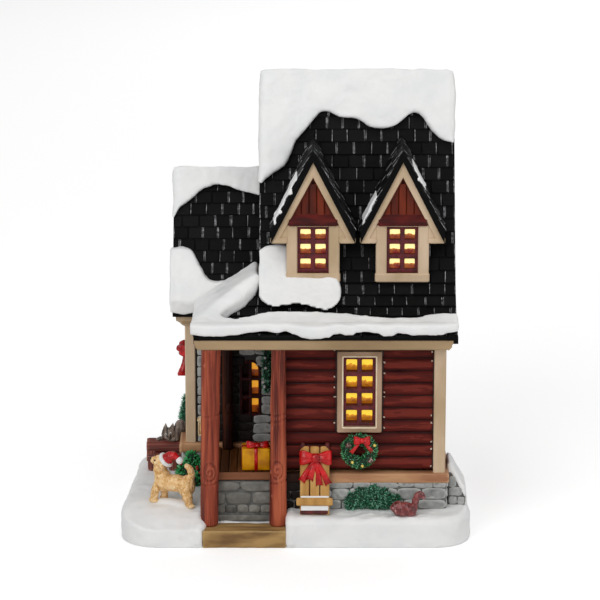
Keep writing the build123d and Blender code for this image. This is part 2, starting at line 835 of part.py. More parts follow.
def dormer_roof(centre_x, roof_body):
    """Shingled cover of one dormer, a folded plate that runs back into the main roof."""
    half = dormer_roof_width / 2
    foot_z = dormer_peak_z - half * dormer_slope
    outline = [
        (centre_x - half, foot_z),
        (centre_x, dormer_peak_z),
        (centre_x + half, foot_z),
        (centre_x + half, foot_z + dormer_roof_cover),
        (centre_x, dormer_peak_z + dormer_roof_cover),
        (centre_x - half, foot_z + dormer_roof_cover),
    ]
    front = dormer_front_y - dormer_barge_thickness - dormer_roof_overhang
    return prism_y(outline, front, ridge_y) - roof_body


def dormer_sash_place(centre_x):
    """Where a dormer's sash stands."""
    return wall_place(centre_x, dormer_front_y, dormer_sash_z, (0, -1, 0), (1, 0, 0))


def framed_window_places():
    """Foot of each framed window: front wall, right wall, rear wall."""
    z = wall_z + window_rise
    side_y = (main_front + main_rear) / 2 + side_window_offset
    return {
        "front": wall_place(main_centre_x + front_window_offset, main_front, z, (0, -1, 0), (1, 0, 0)),
        "right": wall_place(main_right, side_y, z, (1, 0, 0), (0, 1, 0)),
        "rear": wall_place(main_centre_x, main_rear, z, (0, 1, 0), (-1, 0, 0)),
    }


def framed_opening(place):
    """Seat of a window frame in the logs, and the hole behind it."""
    seat = slab(place, window_frame_width, window_frame_height, -window_frame_seat,
                window_frame_proud + cut_overrun)
    hole = slab(place * Pos(0, window_frame_bar, 0), window_frame_width - 2 * window_frame_bar,
                window_frame_height - 2 * window_frame_bar, -wall_thickness - cut_overrun, 0)
    return seat + hole


def window_frame(place):
    """Tan frame of a window in the log wall."""
    outer = slab(place, window_frame_width, window_frame_height, -window_frame_seat, window_frame_proud)
    hole = slab(place * Pos(0, window_frame_bar, 0), window_frame_width - 2 * window_frame_bar,
                window_frame_height - 2 * window_frame_bar, -wall_thickness, window_frame_proud + cut_overrun)
    return outer - hole


def framed_sash_size():
    """Width and height of the sash inside a framed window."""
    return window_frame_width - 2 * window_frame_bar, window_frame_height - 2 * window_frame_bar


def arch_place():
    """Foot of the arched window in the wing's front wall."""
    x = main_left - arch_inset - arch_width / 2
    return wall_place(x, wing_front, wall_z + arch_rise, (0, -1, 0), (1, 0, 0))


def arch_shape(draw_in, back, front):
    """Round-headed panel on the porch's rear wall, drawn in from its outline by so much."""
    radius = arch_width / 2 - draw_in
    spring = arch_height - arch_width / 2
    straight = Polyline((-radius, spring), (-radius, draw_in), (radius, draw_in), (radius, spring))
    head = ThreePointArc((radius, spring), (0, spring + radius), (-radius, spring))
    face = Face(Wire([*straight.edges(), head]))
    panel = Solid.extrude(face, Vector(0, 0, front - back))
    return arch_place() * Pos(0, 0, back) * panel


def arched_sash():
    """Round-headed leaf with two columns of three lights."""
    leaf = arch_shape(0, -sash_back, sash_depth - sash_back)
    lights = arch_shape(arch_stile, -sash_back - cut_overrun, sash_depth + cut_overrun)
    bar_back = -sash_back - cut_overrun
    bar_front = sash_depth + cut_overrun
    lights = lights - slab(arch_place(), arch_muntin, arch_height, bar_back, bar_front)
    for row in (1, 2):
        up = row * (arch_height - arch_muntin) / 3
        lights = lights - slab(arch_place() * Pos(0, up, 0), arch_width, arch_muntin, bar_back, bar_front)
    return leaf - lights


def main_walls():
    """Log box of the main block with both gables, and its window and wing openings."""
    walls = log_wall_along_x(main_front, 1) + log_wall_along_x(main_rear, -1)
    walls = walls + log_wall_along_y(main_left, 1) + log_wall_along_y(main_right, -1)
    for board in corner_boards():
        walls = walls - board
    for place in framed_window_places().values():
        walls = walls - framed_opening(place)
    middle_y = (wing_front + wing_rear) / 2
    low = (main_left - cut_overrun, middle_y - passage_width / 2, wall_z)
    high = (main_left + wall_thickness + cut_overrun, middle_y + passage_width / 2, wall_z + passage_height)
    return walls - block(low, high)


def wing_walls():
    """Stone walls of the wing, with the left gable and the arched opening."""
    walls = wing_ring(0, wall_z, eave_z)
    walls = walls + prism_x(wing_attic, wing_left, wing_left + wall_thickness)
    for board in corner_boards():
        walls = walls - board
    return walls - arch_shape(0, -wall_thickness - cut_overrun, cut_overrun)


def front_post(x, foot_radius, head_radius):
    """Peeled log post from the step to the porch beam, with one sawn knot on its front."""
    height = fascia_z - step_height
    trunk = Cone(foot_radius, head_radius, height, align=(Align.CENTER, Align.CENTER, Align.MIN))
    share = post_knot_rise / height
    reach = foot_radius + (head_radius - foot_radius) * share + post_knot_proud
    knot = Cylinder(post_knot_radius, reach, align=(Align.CENTER, Align.CENTER, Align.MIN))
    body = Pos(x, post_y, step_height) * trunk
    return body + Pos(x, post_y, step_height + post_knot_rise) * Rot(90, 0, 0) * knot


def rear_post():
    """Half-hidden post against the rear wall of the porch, between the floor and the eave board."""
    height = fascia_z - porch_floor_z
    trunk = Cylinder(rear_post_radius, height, align=(Align.CENTER, Align.CENTER, Align.MIN))
    y = wing_front - sill_proud - rear_post_radius
    return Pos(porch_left + rear_post_inset, y, porch_floor_z) * trunk


def ridge_snow(roof_body, dormers):
    """Snow astride the main ridge, with a scalloped lower edge on both slopes."""
    lip = cut_overrun
    raised = Pos(0, 0, ridge_snow_depth) * roof_body
    points = [(roof_left + x * roof_width, ridge_z - drop * main_roof_rise) for x, drop in ridge_snow_shares]
    top = ridge_z + ridge_snow_depth + lip
    corners = [(points[-1][0], top), (points[0][0], top)]
    region = soft_prism_y(points, corners, front_eave_y, rear_eave_y)
    snow = (raised & region) - roof_body
    for piece in dormers:
        snow = snow - piece
    return snow


def foot_snow(roof_body, dormers):
    """Drift that lies beside and below the left dormer."""
    points = [(roof_left + x * roof_width, ridge_z - drop * main_roof_rise) for x, drop in foot_snow_shares]
    wave = [(x, front_eave_y, z) for x, z in points]
    outline = [Spline(*wave), Line(wave[-1], wave[0])]
    region = prism(outline, (0, ridge_y - front_eave_y, 0))
    raised = Pos(0, 0, foot_snow_depth) * roof_body
    snow = (raised & region) - roof_body
    for piece in dormers:
        snow = snow - piece
    return snow.solids().sort_by(SortBy.VOLUME)[-1]


def eave_snow(roof_body, hip_roof, wing_body):
    """Snow along the front eave and up the porch hip, with a lip over the edge."""
    width = roof_right - porch_eave_x
    reach = flare_y - front_eave_y
    wave = []
    for x, back in eave_snow_shares:
        wave.append((porch_eave_x + x * width, front_eave_y + back * reach, 0))
    front = front_eave_y - eave_snow_lip - cut_overrun
    left = porch_eave_x - eave_snow_lip - cut_overrun
    far = Polyline(
        wave[-1],
        (wave[-1][0], wing_ridge_y, 0),
        (left, wing_ridge_y, 0),
        (left, front, 0),
        (wave[0][0], front, 0),
        wave[0],
    )
    region = prism([Spline(*wave), *far.edges()], (0, 0, ridge_z))
    shift = Pos(-eave_snow_lip, -eave_snow_lip, eave_snow_depth)
    hip_snow = (shift * hip_roof) + (Pos(0, -eave_snow_lip, eave_snow_depth) * hip_roof)
    main_snow = Pos(0, -eave_snow_lip, eave_snow_depth) * roof_body
    low_z = eave_z + eave_snow_hang
    edge_low = (porch_eave_x - eave_snow_lip, front_eave_y - eave_snow_lip, low_z)
    edge = block(edge_low, (roof_right, front_eave_y, eave_top_z + eave_snow_depth))
    snow = (main_snow + hip_snow + edge) & region & room_above(low_z)
    snow = snow - roof_body - hip_roof - wing_body
    return snow.solids().sort_by(SortBy.VOLUME)[-1]


def wing_ridge_snow(wing_body, main_body):
    """Snow astride the wing's ridge."""
    points = []
    for x, drop in wing_ridge_snow_shares:
        points.append((wing_roof_left + x * wing_roof_width, wing_ridge_z - drop * wing_roof_rise))
    top = wing_ridge_z + wing_ridge_snow_depth + cut_overrun
    corners = [(main_left, top), (points[0][0], top)]
    region = soft_prism_y(points, corners, wing_eave_y, wing_rear_eave_y)
    raised = Pos(0, 0, wing_ridge_snow_depth) * wing_body
    return (raised & region) - wing_body - main_body


def wing_eave_snow(wing_body, others):
    """Snow on the lower front of the wing roof, deeper at its left edge."""
    points = []
    for x, drop in wing_eave_snow_shares:
        points.append((wing_roof_left + x * wing_roof_width, wing_ridge_z - drop * wing_roof_rise))
    low = eave_z + eave_snow_hang
    corners = [(points[-1][0], low), (points[0][0], low)]
    region = soft_prism_y(points, corners, wing_eave_y - 2 * wing_snow_lip, wing_ridge_y)
    raised = Pos(0, -wing_snow_lip, wing_eave_snow_depth) * wing_body
    edge_low = (wing_roof_left, wing_eave_y - wing_snow_lip, low)
    edge = block(edge_low, (main_left, wing_eave_y, eave_top_z + wing_eave_snow_depth))
    snow = ((raised + edge) & region) - wing_body
    for piece in others:
        snow = snow - piece
    return snow.solids().sort_by(SortBy.VOLUME)[-1]


def dormer_cap_snow(covers, roof_body):
    """Patches of snow on the dormer roofs, near their front edges."""
    patches = []
    half = dormer_roof_width / 2
    front = dormer_front_y - dormer_barge_thickness - dormer_roof_overhang
    length = cap_snow_length_share * dormer_width
    top = dormer_peak_z + dormer_roof_cover + cap_snow_depth
    foot_z = dormer_peak_z - half * dormer_slope
    for which, low_share, high_share in cap_snow_shares:
        centre_x = dormer_centres[which]
        low = (centre_x + low_share * half, front, foot_z)
        high = (centre_x + high_share * half, front + length, top)
        raised = Pos(0, 0, cap_snow_depth) * covers[which]
        patches.append((raised & block(low, high)) - covers[which] - roof_body)
    return patches


def buttress_outline():
    """Front view of the buttress: upright at the wall and shouldered down to the right."""
    left = main_right + sill_proud
    shoulder_z = ground_z + buttress_shoulder_share * buttress_height
    return [
        (left, ground_z),
        (left, ground_z + buttress_height),
        (left + buttress_top_width, ground_z + buttress_height),
        (left + buttress_width, shoulder_z),
        (left + buttress_width, ground_z),
    ]


def stone_buttress():
    """Low stone pier against the right wall."""
    front = main_front + buttress_front_setback
    return prism_y(buttress_outline(), front, front + buttress_length)


def buttress_snow(stone):
    """Rounded snow on the top and slope of the buttress."""
    front = main_front + buttress_front_setback
    shoulder_z = ground_z + buttress_shoulder_share * buttress_height
    left = main_right + sill_proud
    raised = Pos(0, 0, buttress_snow_depth) * stone
    keep = block((left, front, shoulder_z), (left + buttress_width, front + buttress_length, ridge_z))
    return (raised & keep) - stone


def bow(place, size, facing=0):
    """Ribbon bow with two loops, a knot and two tails, standing on its tails."""
    return cluster(place, size, bow_shares, turn=facing)


def sled():
    """Slatted sled standing on its runners' ends and leaning on the sill."""
    deck_width = sled_slat_count * sled_slat_width + (sled_slat_count - 1) * sled_slat_gap
    pieces = []
    for slat in range(sled_slat_count):
        x = -deck_width / 2 + slat * (sled_slat_width + sled_slat_gap)
        pieces.append(block((x, 0, 0), (x + sled_slat_width, sled_board_thickness, sled_length)))
    rear = sled_board_thickness + sled_runner_height
    for share in sled_bar_shares:
        z = share * sled_length
        pieces.append(block((-deck_width / 2, sled_board_thickness, z),
                            (deck_width / 2, rear, z + sled_slat_width / 2)))
    for x in (-deck_width / 2, deck_width / 2 - sled_runner_width):
        pieces.append(block((x, sled_board_thickness, 0), (x + sled_runner_width, rear, sled_length)))
    ribbon = bow((0, 0, sled_length - sled_bow_size - sled_slat_width / 2), sled_bow_size)
    pieces.append(ribbon & room_before(sled_board_thickness))
    body = pieces[0].fuse(*pieces[1:])
    x = main_left + sled_place_share * main_width
    lean_y = main_front - sill_proud - sled_wall_gap
    lean = math.degrees(math.atan2(sled_foot_reach, wall_z - ground_z))
    foot_y = lean_y - sled_foot_reach - rear
    return (Pos(x, foot_y, ground_z) * Rot(-lean, 0, 0) * body) & room_above(ground_z)


def wreath():
    """Evergreen ring with a bow, hung on the log wall."""
    x = main_centre_x + front_window_offset
    y = main_front - wreath_tube_radius
    z = wall_z + wreath_radius + wreath_tube_radius
    hoop = Pos(x, y, z) * Rot(90, 0, 0) * Torus(wreath_radius, wreath_tube_radius)
    ribbon = bow((x, y - wreath_tube_radius / 2, wall_z), wreath_bow_size)
    return hoop + ribbon


def front_shrub():
    """Low row of greenery along the front foundation."""
    x = main_left + shrub_place_share * main_width
    y = foundation_front_y
    return cluster((x, y, ground_z), shrub_height, shrub_shares) & room_above(ground_z) & room_before(y)


def squirrel():
    """Crouched squirrel in front of the shrub, tail up to the right."""
    x = main_left + squirrel_place_share * main_width
    y = foundation_front_y - squirrel_reach
    return cluster((x, y, ground_z), squirrel_height, squirrel_shares) & room_above(ground_z)


def dog():
    """Standing dog with a pointed hat, looking left."""
    x = wing_left - dog_reach / 2
    y = main_front + dog_front_setback
    return cluster((x, y, ground_z), dog_height, dog_shares) & room_above(ground_z)


def holly_bush():
    """Holly against the wing's front foundation, beside the porch."""
    x = porch_left - holly_reach
    y = wing_front - foundation_proud - holly_setback
    return cluster((x, y, ground_z), holly_height, holly_shares) & room_above(ground_z)


def bench_middle():
    """Plan place of the bench's middle, beside the wing's left wall."""
    x = wing_left - sill_proud - bench_wall_gap - bench_length / 2
    return x, wing_front + bench_setback


def log_bench():
    """Bench of peeled logs: two seat logs and an apron log on four stumps."""
    x, y = bench_middle()
    left = x - bench_length / 2
    seat_z = ground_z + bench_seat_rise - bench_log_radius
    log = Cylinder(bench_log_radius, bench_length, align=(Align.CENTER, Align.CENTER, Align.MIN))
    stump = Cylinder(bench_log_radius, seat_z - ground_z, align=(Align.CENTER, Align.CENTER, Align.MIN))
    row = bench_depth / 2 - bench_log_radius
    apron_z = seat_z - bench_log_spacing
    pieces = [Pos(left, y - row, apron_z) * Rot(0, 90, 0) * log]
    for side in (-1, 1):
        pieces.append(Pos(left, y + side * row, seat_z) * Rot(0, 90, 0) * log)
        for end in (-1, 1):
            stump_x = x + end * (bench_length / 2 - bench_log_radius)
            pieces.append(Pos(stump_x, y + side * row, ground_z) * stump)
    return pieces[0].fuse(*pieces[1:])


def cat():
    """Cat lying on the bench, head to the left."""
    x, y = bench_middle()
    seat = ground_z + bench_seat_rise
    return cluster((x + cat_offset, y, seat), cat_length, cat_shares) & room_above(seat)


def wing_side_room():
    """Everything left of the wing's stone wall."""
    return block((-base_width / 2, -base_depth / 2, 0), (wing_left, base_depth / 2, ridge_z))


def side_tree():
    """Half-round evergreen on the wing's left sill, flat against the stones."""
    place = (wing_left, wing_front + tree_setback, wall_z)
    return cluster(place, tree_height, tree_shares) & room_above(wall_z) & wing_side_room()


def wall_bow():
    """Ribbon bow hung on the wing's left wall."""
    place = (wing_left, wing_front + wall_bow_setback, wall_z + wall_bow_rise)
    return bow(place, wall_bow_size, facing=90) & wing_side_room()


def gift_box():
    """Wrapped box on the porch floor, tied with a ribbon and a bow."""
    x = main_left - gift_inset
    y = main_front + gift_setback
    half = gift_size / 2
    band = gift_ribbon_width / 2
    out = half + gift_ribbon_proud
    top = gift_height + gift_ribbon_proud
    body = block((-half, -half, 0), (half, half, gift_height))
    body = body + block((-band, -out, 0), (band, out, top)) + block((-out, -band, 0), (out, band, top))
    knot = bow((0, 0, gift_height - gift_bow_sink), gift_bow_size)
    return Pos(x, y, porch_floor_z) * Rot(0, 0, gift_turn) * (body + knot)


def porch_swag():
    """Evergreen swag hung on the porch's rear wall, beside the arched window."""
    place = (main_left - swag_inset, wing_front, wall_z + swag_rise)
    return cluster(place, swag_height, swag_shares) & room_before(wing_front)


def wall_lantern():
    """Small lantern on the sill of the wing, against the stones beside the porch."""
    x = porch_left - lantern_width / 2 + lantern_cap_overhang
    low_z = wall_z + lantern_rise
    cap_z = low_z + lantern_height
    half = lantern_width / 2
    rear = wing_front
    case = block((x - half, rear - lantern_width, low_z), (x + half, rear, cap_z))
    edge = half + lantern_cap_overhang
    cap = prism_y([(x - edge, cap_z), (x, cap_z + half), (x + edge, cap_z)], rear - lantern_width, rear)
    return case + cap


def bottom_plate():
    """Plate that closes the underside, with the battery way, hinge sockets, switch slot and screw holes."""
    low, high = plate_corners(plate_side_gap)
    plate = block((*low, plate_z), (*high, plate_top_z))
    under = plate_z - cut_overrun
    over = plate_top_z + cut_overrun
    plate = plate - block((tray_left, tray_front, under), (tray_right, tray_rear, over))
    socket_length = tray_inner_width + 2 * (door_pin_length + door_side_gap)
    socket = Cylinder(door_pin_radius + door_pin_clearance, socket_length)
    plate = plate - Pos(main_centre_x, hinge_y, hinge_z) * Rot(0, 90, 0) * socket
    latch_half = door_latch_width / 2 + door_side_gap
    latch_low = (main_centre_x - latch_half, tray_rear - cut_overrun, under)
    latch_rear = tray_rear + door_latch_reach
    latch_high = (main_centre_x + latch_half, latch_rear, plate_z + door_latch_thickness + door_side_gap)
    plate = plate - block(latch_low, latch_high)
    plate = plate - switch_slot(under, over)
    for x, y in screw_places():
        hole = Cylinder(screw_shank_radius, plate_thickness + 2 * cut_overrun,
                        align=(Align.CENTER, Align.CENTER, Align.MIN))
        plate = plate - Pos(x, y, under) * hole
    return plate


def battery_tray():
    """Moulded box over the cells, open towards the door."""
    low = (tray_left - tray_wall, tray_front - tray_wall, plate_top_z)
    high = (tray_right + tray_wall, tray_rear + tray_wall, tray_top_z)
    hollow_low = (tray_left, tray_front, plate_top_z - cut_overrun)
    return block(low, high) - block(hollow_low, (tray_right, tray_rear, tray_inner_top_z))


def battery_door():
    """Door flush with the plate: two stub pins at the front, a latch tongue at the rear."""
    left = tray_left + door_side_gap
    right = tray_right - door_side_gap
    rear = tray_rear - door_side_gap
    leaf = block((left, hinge_y, plate_z), (right, rear, door_top_z))
    barrel = Cylinder(door_thickness / 2, right - left)
    pin = Cylinder(door_pin_radius, tray_inner_width + 2 * door_pin_length)
    turn = Pos(main_centre_x, hinge_y, hinge_z) * Rot(0, 90, 0)
    tongue_low = (main_centre_x - door_latch_width / 2, rear, plate_z)
    tongue_rear = tray_rear + door_latch_reach - door_side_gap
    tongue_high = (main_centre_x + door_latch_width / 2, tongue_rear, plate_z + door_latch_thickness)
    return leaf + turn * barrel + turn * pin + block(tongue_low, tongue_high)


def cell_places():
    """Middle of each cell across the tray, with the way that it points."""
    pitch = cell_diameter + cell_side_gap
    first = tray_left + pitch / 2
    return [(first + index * pitch, 1 if index % 2 == 0 else -1) for index in range(cell_count)]


def battery_cells():
    """Cells side by side, every other one turned round."""
    cells = []
    middle_y = (tray_front + tray_rear) / 2
    total = cell_length + cell_nub_length
    for x, way in cell_places():
        can = Cylinder(cell_diameter / 2, cell_length, align=(Align.CENTER, Align.CENTER, Align.MIN))
        nub = Cylinder(cell_nub_radius, cell_nub_length, align=(Align.CENTER, Align.CENTER, Align.MIN))
        cell = can + Pos(0, 0, cell_length) * nub
        start = Pos(x, middle_y - way * total / 2, cell_z)
        cells.append(start * Rot(-90 * way, 0, 0) * cell)
    return cells


def battery_contacts():
    """Sprung plates at both ends of each cell, with a dome that presses on it."""
    contacts = []
    low_z = cell_z - contact_height / 2
    for x, _ in cell_places():
        for end_y, way in ((tray_front, 1), (tray_rear, -1)):
            face_y = end_y + way * contact_thickness
            low = (x - contact_width / 2, min(end_y, face_y), low_z)
            high = (x + contact_width / 2, max(end_y, face_y), low_z + contact_height)
            dome = egg((x, face_y, cell_z), (0, 1, 0), contact_dome_height, contact_dome_radius)
            wall_low = (x - contact_width, min(end_y, end_y - way * tray_wall), 0)
            wall_high = (x + contact_width, max(end_y, end_y - way * tray_wall), tray_top_z)
            contacts.append(block(low, high) + dome - block(wall_low, wall_high))
    return contacts


def switch_slot(low_z, high_z):
    """Way for the knob through the plate and into the switch."""
    length = switch_knob_length + switch_travel + 2 * switch_knob_gap
    width = switch_knob_width + 2 * switch_knob_gap
    x = main_centre_x - length / 2
    y = switch_y - width / 2
    return block((x, y, low_z), (x + length, y + width, high_z))


def slide_switch():
    """Switch case on top of the plate, hollow where the knob runs."""
    low = (main_centre_x - switch_length / 2, switch_y - switch_width / 2, plate_top_z)
    high = (main_centre_x + switch_length / 2, switch_y + switch_width / 2, switch_top_z)
    hollow_top = plate_top_z + switch_knob_depth + switch_knob_gap
    return block(low, high) - switch_slot(plate_top_z - cut_overrun, hollow_top)


def switch_knob():
    """Knob at the left end of its slot, where the lamps are on."""
    x = main_centre_x - (switch_knob_length + switch_travel) / 2
    y = switch_y - switch_knob_width / 2
    high = (x + switch_knob_length, y + switch_knob_width, plate_top_z + switch_knob_depth)
    return block((x, y, switch_knob_tip_rise), high)


def lamp_board():
    """Circuit board on the roof of the battery tray."""
    x = main_centre_x
    y = (tray_front + tray_rear) / 2
    low = (x - board_length / 2, y - board_width / 2, tray_top_z)
    return block(low, (x + board_length / 2, y + board_width / 2, tray_top_z + board_thickness))


def lamps():
    """Two round-headed lamps standing on the board."""
    bulbs = []
    y = (tray_front + tray_rear) / 2
    stem_height = lamp_height - lamp_radius
    for side in (-1, 1):
        stem = Cylinder(lamp_radius, stem_height, align=(Align.CENTER, Align.CENTER, Align.MIN))
        bulb = stem + Pos(0, 0, stem_height) * Sphere(lamp_radius)
        bulbs.append(Pos(main_centre_x + side * lamp_spacing / 2, y, tray_top_z + board_thickness) * bulb)
    return bulbs


def lead_wires():
    """Two leads from the switch up behind the tray and over its edge to the lamp board."""
    wires = []
    board_top = tray_top_z + board_thickness
    board_edge = (tray_front + tray_rear) / 2 + board_width / 2 - wire_board_inset
    crest = board_top + wire_lift
    for side in (-1, 1):
        x = main_centre_x + side * wire_spacing / 2
        route = FilletPolyline(
            (x, switch_y, switch_top_z),
            (x, switch_y, crest),
            (x, board_edge, crest),
            (x, board_edge, board_top),
            radius=wire_bend,
        )
        section = Plane(origin=route @ 0, z_dir=route % 0) * Circle(wire_radius)
        wires.append(sweep(section, path=route))
    return wires


def plate_screws():
    """Pan-head screws that hold the plate to the ledge."""
    screws = []
    for x, y in screw_places():
        head = Cylinder(screw_head_radius, screw_head_height, align=(Align.CENTER, Align.CENTER, Align.MAX))
        shank = Cylinder(screw_shank_radius, screw_length, align=(Align.CENTER, Align.CENTER, Align.MIN))
        screws.append(Pos(x, y, plate_z) * (head + shank))
    return screws


def window_panes():
    """Amber sheets behind all the sashes."""
    width, height = framed_sash_size()
    sheets = []
    for place in framed_window_places().values():
        sheets.append(pane(place * Pos(0, window_frame_bar, 0), width, height))
    for centre_x in dormer_centres:
        sheets.append(pane(dormer_sash_place(centre_x), dormer_sash_width, dormer_sash_height))
    sheets.append(arch_shape(0, -sash_back - pane_thickness, -sash_back))
    return sheets


def house_nodes():
    """Every node of the house, by name."""
    roof_body = roof_section(roof_left, roof_right)
    main_roof = roof_body - prism_x(main_attic, roof_left - cut_overrun, roof_right + cut_overrun)
    for centre_x in dormer_centres:
        main_roof = main_roof - dormer_tunnel(centre_x)
    wing_body = wing_roof_section()
    hip_roof = porch_roof(wing_body)
    wing_attic_body = prism_x(wing_attic, wing_roof_left - cut_overrun, main_left + cut_overrun)
    castings = [dormer_casting(centre_x, roof_body) for centre_x in dormer_centres]
    covers = [dormer_roof(centre_x, roof_body) for centre_x in dormer_centres]
    front_snow = eave_snow(roof_body, hip_roof, wing_body)
    drift = foot_snow(roof_body, castings + covers) - front_snow
    stone = stone_buttress()
    places = framed_window_places()
    sash_width, sash_height = framed_sash_size()

    def framed_sash(side):
        return sash(places[side] * Pos(0, window_frame_bar, 0), sash_width, sash_height, 2, 4)

    def dormer_sash(side):
        return sash(dormer_sash_place(dormer_centres[side]), dormer_sash_width, dormer_sash_height, 2, 3)

    return {
        "base_plinth": base_plinth(),
        "front_step": front_step(),
        "main_foundation": main_ring(foundation_proud, ground_z, sill_z),
        "porch_foundation": porch_foundation(),
        "wing_foundation": wing_ring(foundation_proud, ground_z, sill_z),
        "main_sill": main_ring(sill_proud, sill_z, wall_z),
        "wing_sill": wing_ring(sill_proud, sill_z, wall_z),
        "porch_floor": porch_floor(),
        "main_walls": main_walls(),
        "wing_walls": wing_walls(),
        "trim_boards": corner_boards() + eave_boards(),
        "main_roof": main_roof,
        "porch_roof": hip_roof,
        "wing_roof": wing_body - wing_attic_body - main_roof,
        "main_ridge_snow": ridge_snow(roof_body, castings + covers),
        "eave_snow": front_snow,
        "dormer_foot_snow": drift,
        "wing_ridge_snow": wing_ridge_snow(wing_body, roof_body),
        "wing_eave_snow": wing_eave_snow(wing_body, [roof_body, hip_roof, front_snow, drift]),
        "dormer_cap_snow": dormer_cap_snow(covers, roof_body),
        "left_dormer": castings[0],
        "right_dormer": castings[1],
        "left_dormer_roof": covers[0],
        "right_dormer_roof": covers[1],
        "dormer_sashes": [dormer_sash(0), dormer_sash(1)],
        "front_window_frame": window_frame(places["front"]),
        "front_window_sash": framed_sash("front"),
        "side_window_frames": [window_frame(places["right"]), window_frame(places["rear"])],
        "side_window_sashes": [framed_sash("right"), framed_sash("rear")],
        "arched_window_sash": arched_sash(),
        "window_panes": window_panes(),
        "left_porch_post": front_post(left_post_x, left_post_foot_radius, left_post_head_radius),
        "right_porch_post": front_post(right_post_x, right_post_foot_radius, right_post_head_radius),
        "rear_porch_post": rear_post(),
        "porch_swag": porch_swag(),
        "wall_lantern": wall_lantern(),
        "gift_box": gift_box(),
        "sled": sled(),
        "wreath": wreath(),
        "front_shrub": front_shrub(),
        "squirrel": squirrel(),
        "dog": dog(),
        "holly_bush": holly_bush(),
        "log_bench": log_bench(),
        "cat": cat(),
        "side_tree": side_tree(),
        "wall_bow": wall_bow(),
        "stone_buttress": stone,
        "buttress_snow": buttress_snow(stone),
        "bottom_plate": bottom_plate(),
        "battery_tray": battery_tray(),
        "battery_door": battery_door(),
        "battery_cells": battery_cells(),
        "battery_contacts": battery_contacts(),
        "slide_switch": slide_switch(),
        "switch_knob": switch_knob(),
        "lamp_board": lamp_board(),
        "lamps": lamps(),
        "lead_wires": lead_wires(),
        "plate_screws": plate_screws(),
    }


os.makedirs("parts", exist_ok=True)
for name, shape in house_nodes().items():
    if isinstance(shape, list):
        shape = Compound(children=[solid for piece in shape for solid in piece.solids()])
    export_step(shape, f"parts/{name}.step")
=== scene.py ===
import bmesh
import bpy
import math
import random
from mathutils import Matrix, Vector, noise


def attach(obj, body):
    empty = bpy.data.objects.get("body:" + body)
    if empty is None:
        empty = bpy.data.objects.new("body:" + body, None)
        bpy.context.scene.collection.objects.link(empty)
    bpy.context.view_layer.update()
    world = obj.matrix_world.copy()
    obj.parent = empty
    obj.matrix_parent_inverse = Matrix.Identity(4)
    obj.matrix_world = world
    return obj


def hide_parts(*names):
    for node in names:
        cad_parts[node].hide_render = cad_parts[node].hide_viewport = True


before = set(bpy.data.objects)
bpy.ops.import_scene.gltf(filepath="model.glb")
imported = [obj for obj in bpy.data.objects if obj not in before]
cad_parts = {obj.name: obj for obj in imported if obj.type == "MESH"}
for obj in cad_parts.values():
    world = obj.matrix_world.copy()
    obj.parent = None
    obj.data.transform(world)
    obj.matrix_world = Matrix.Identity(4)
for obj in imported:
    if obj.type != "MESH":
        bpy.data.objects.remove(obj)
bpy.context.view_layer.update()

# Studio: the camera stands at the photograph's height and angle over a pale floor.
# A broad lamp at the front left does most of the work, with weaker ones at the right, overhead and behind.
MM = 0.001
camera = bpy.data.objects.new("camera", bpy.data.cameras.new("camera"))
camera.data.sensor_width = 36
camera.data.lens = 182.2
camera.data.clip_end = 20
eye = Vector((2.35, -1166.4, 408.7)) * MM
aim = Vector((2.35, -10.0, 88.0)) * MM
camera.location = eye
camera.rotation_euler = (aim - eye).to_track_quat("-Z", "Y").to_euler()
bpy.context.collection.objects.link(camera)
bpy.context.scene.camera = camera
bpy.context.scene.view_settings.view_transform = "Standard"


def lamp(name, place, size, power):
    """Square soft box that faces the house."""
    light = bpy.data.objects.new(name, bpy.data.lights.new(name, "AREA"))
    light.data.size = size
    light.data.energy = power
    light.location = place
    light.rotation_euler = (aim - Vector(place)).to_track_quat("-Z", "Y").to_euler()
    bpy.context.collection.objects.link(light)


lamp("key_lamp", (-0.55, -1.05, 0.85), 0.8, 6.6)
lamp("fill_lamp", (0.95, -0.80, 0.45), 0.9, 2.6)
lamp("top_lamp", (0.05, -0.25, 1.25), 0.8, 2.8)
lamp("back_lamp", (0.35, 1.15, 0.70), 0.8, 3.0)


def join(tree, node, **values):
    """Set a shader node's sockets, and link those whose value is another node's output; _ stands for a space."""
    for name, value in values.items():
        socket = node.inputs[name.replace("_", " ")]
        if isinstance(value, bpy.types.NodeSocket):
            tree.links.new(value, socket)
        else:
            socket.default_value = value


def add(tree, kind, **values):
    """New shader node with its sockets set or linked."""
    node = tree.nodes.new("ShaderNode" + kind)
    join(tree, node, **values)
    return node


def seen(tree, hidden, shown):
    """Level that differs between what the camera sees and what only lights the house."""
    ray = add(tree, "LightPath").outputs["Is Camera Ray"]
    return add(tree, "MapRange", Value=ray, To_Min=hidden, To_Max=shown).outputs[0]


world = bpy.data.worlds.new("studio")
bpy.context.scene.world = world
world.use_nodes = True
tree = world.node_tree
join(tree, tree.nodes["Background"], Color=(1, 1, 1, 1), Strength=seen(tree, 0.42, 1.0))

floor_mesh = bpy.data.meshes.new("floor")
reach = 4.0
floor_mesh.from_pydata([(-reach, -reach, 0), (reach, -reach, 0), (reach, reach, 0), (-reach, reach, 0)],
                       [], [(0, 1, 2, 3)])
floor = bpy.data.objects.new("floor", floor_mesh)
bpy.context.collection.objects.link(floor)
paper = bpy.data.materials.new("pale_paper")
paper.use_nodes = True
tree = paper.node_tree
join(tree, tree.nodes["Principled BSDF"], Base_Color=(0.86, 0.86, 0.86, 1), Roughness=0.9, Specular_IOR_Level=0.0,
     Emission_Color=(1, 1, 1, 1), Emission_Strength=seen(tree, 0.0, 0.34))
floor_mesh.materials.append(paper)


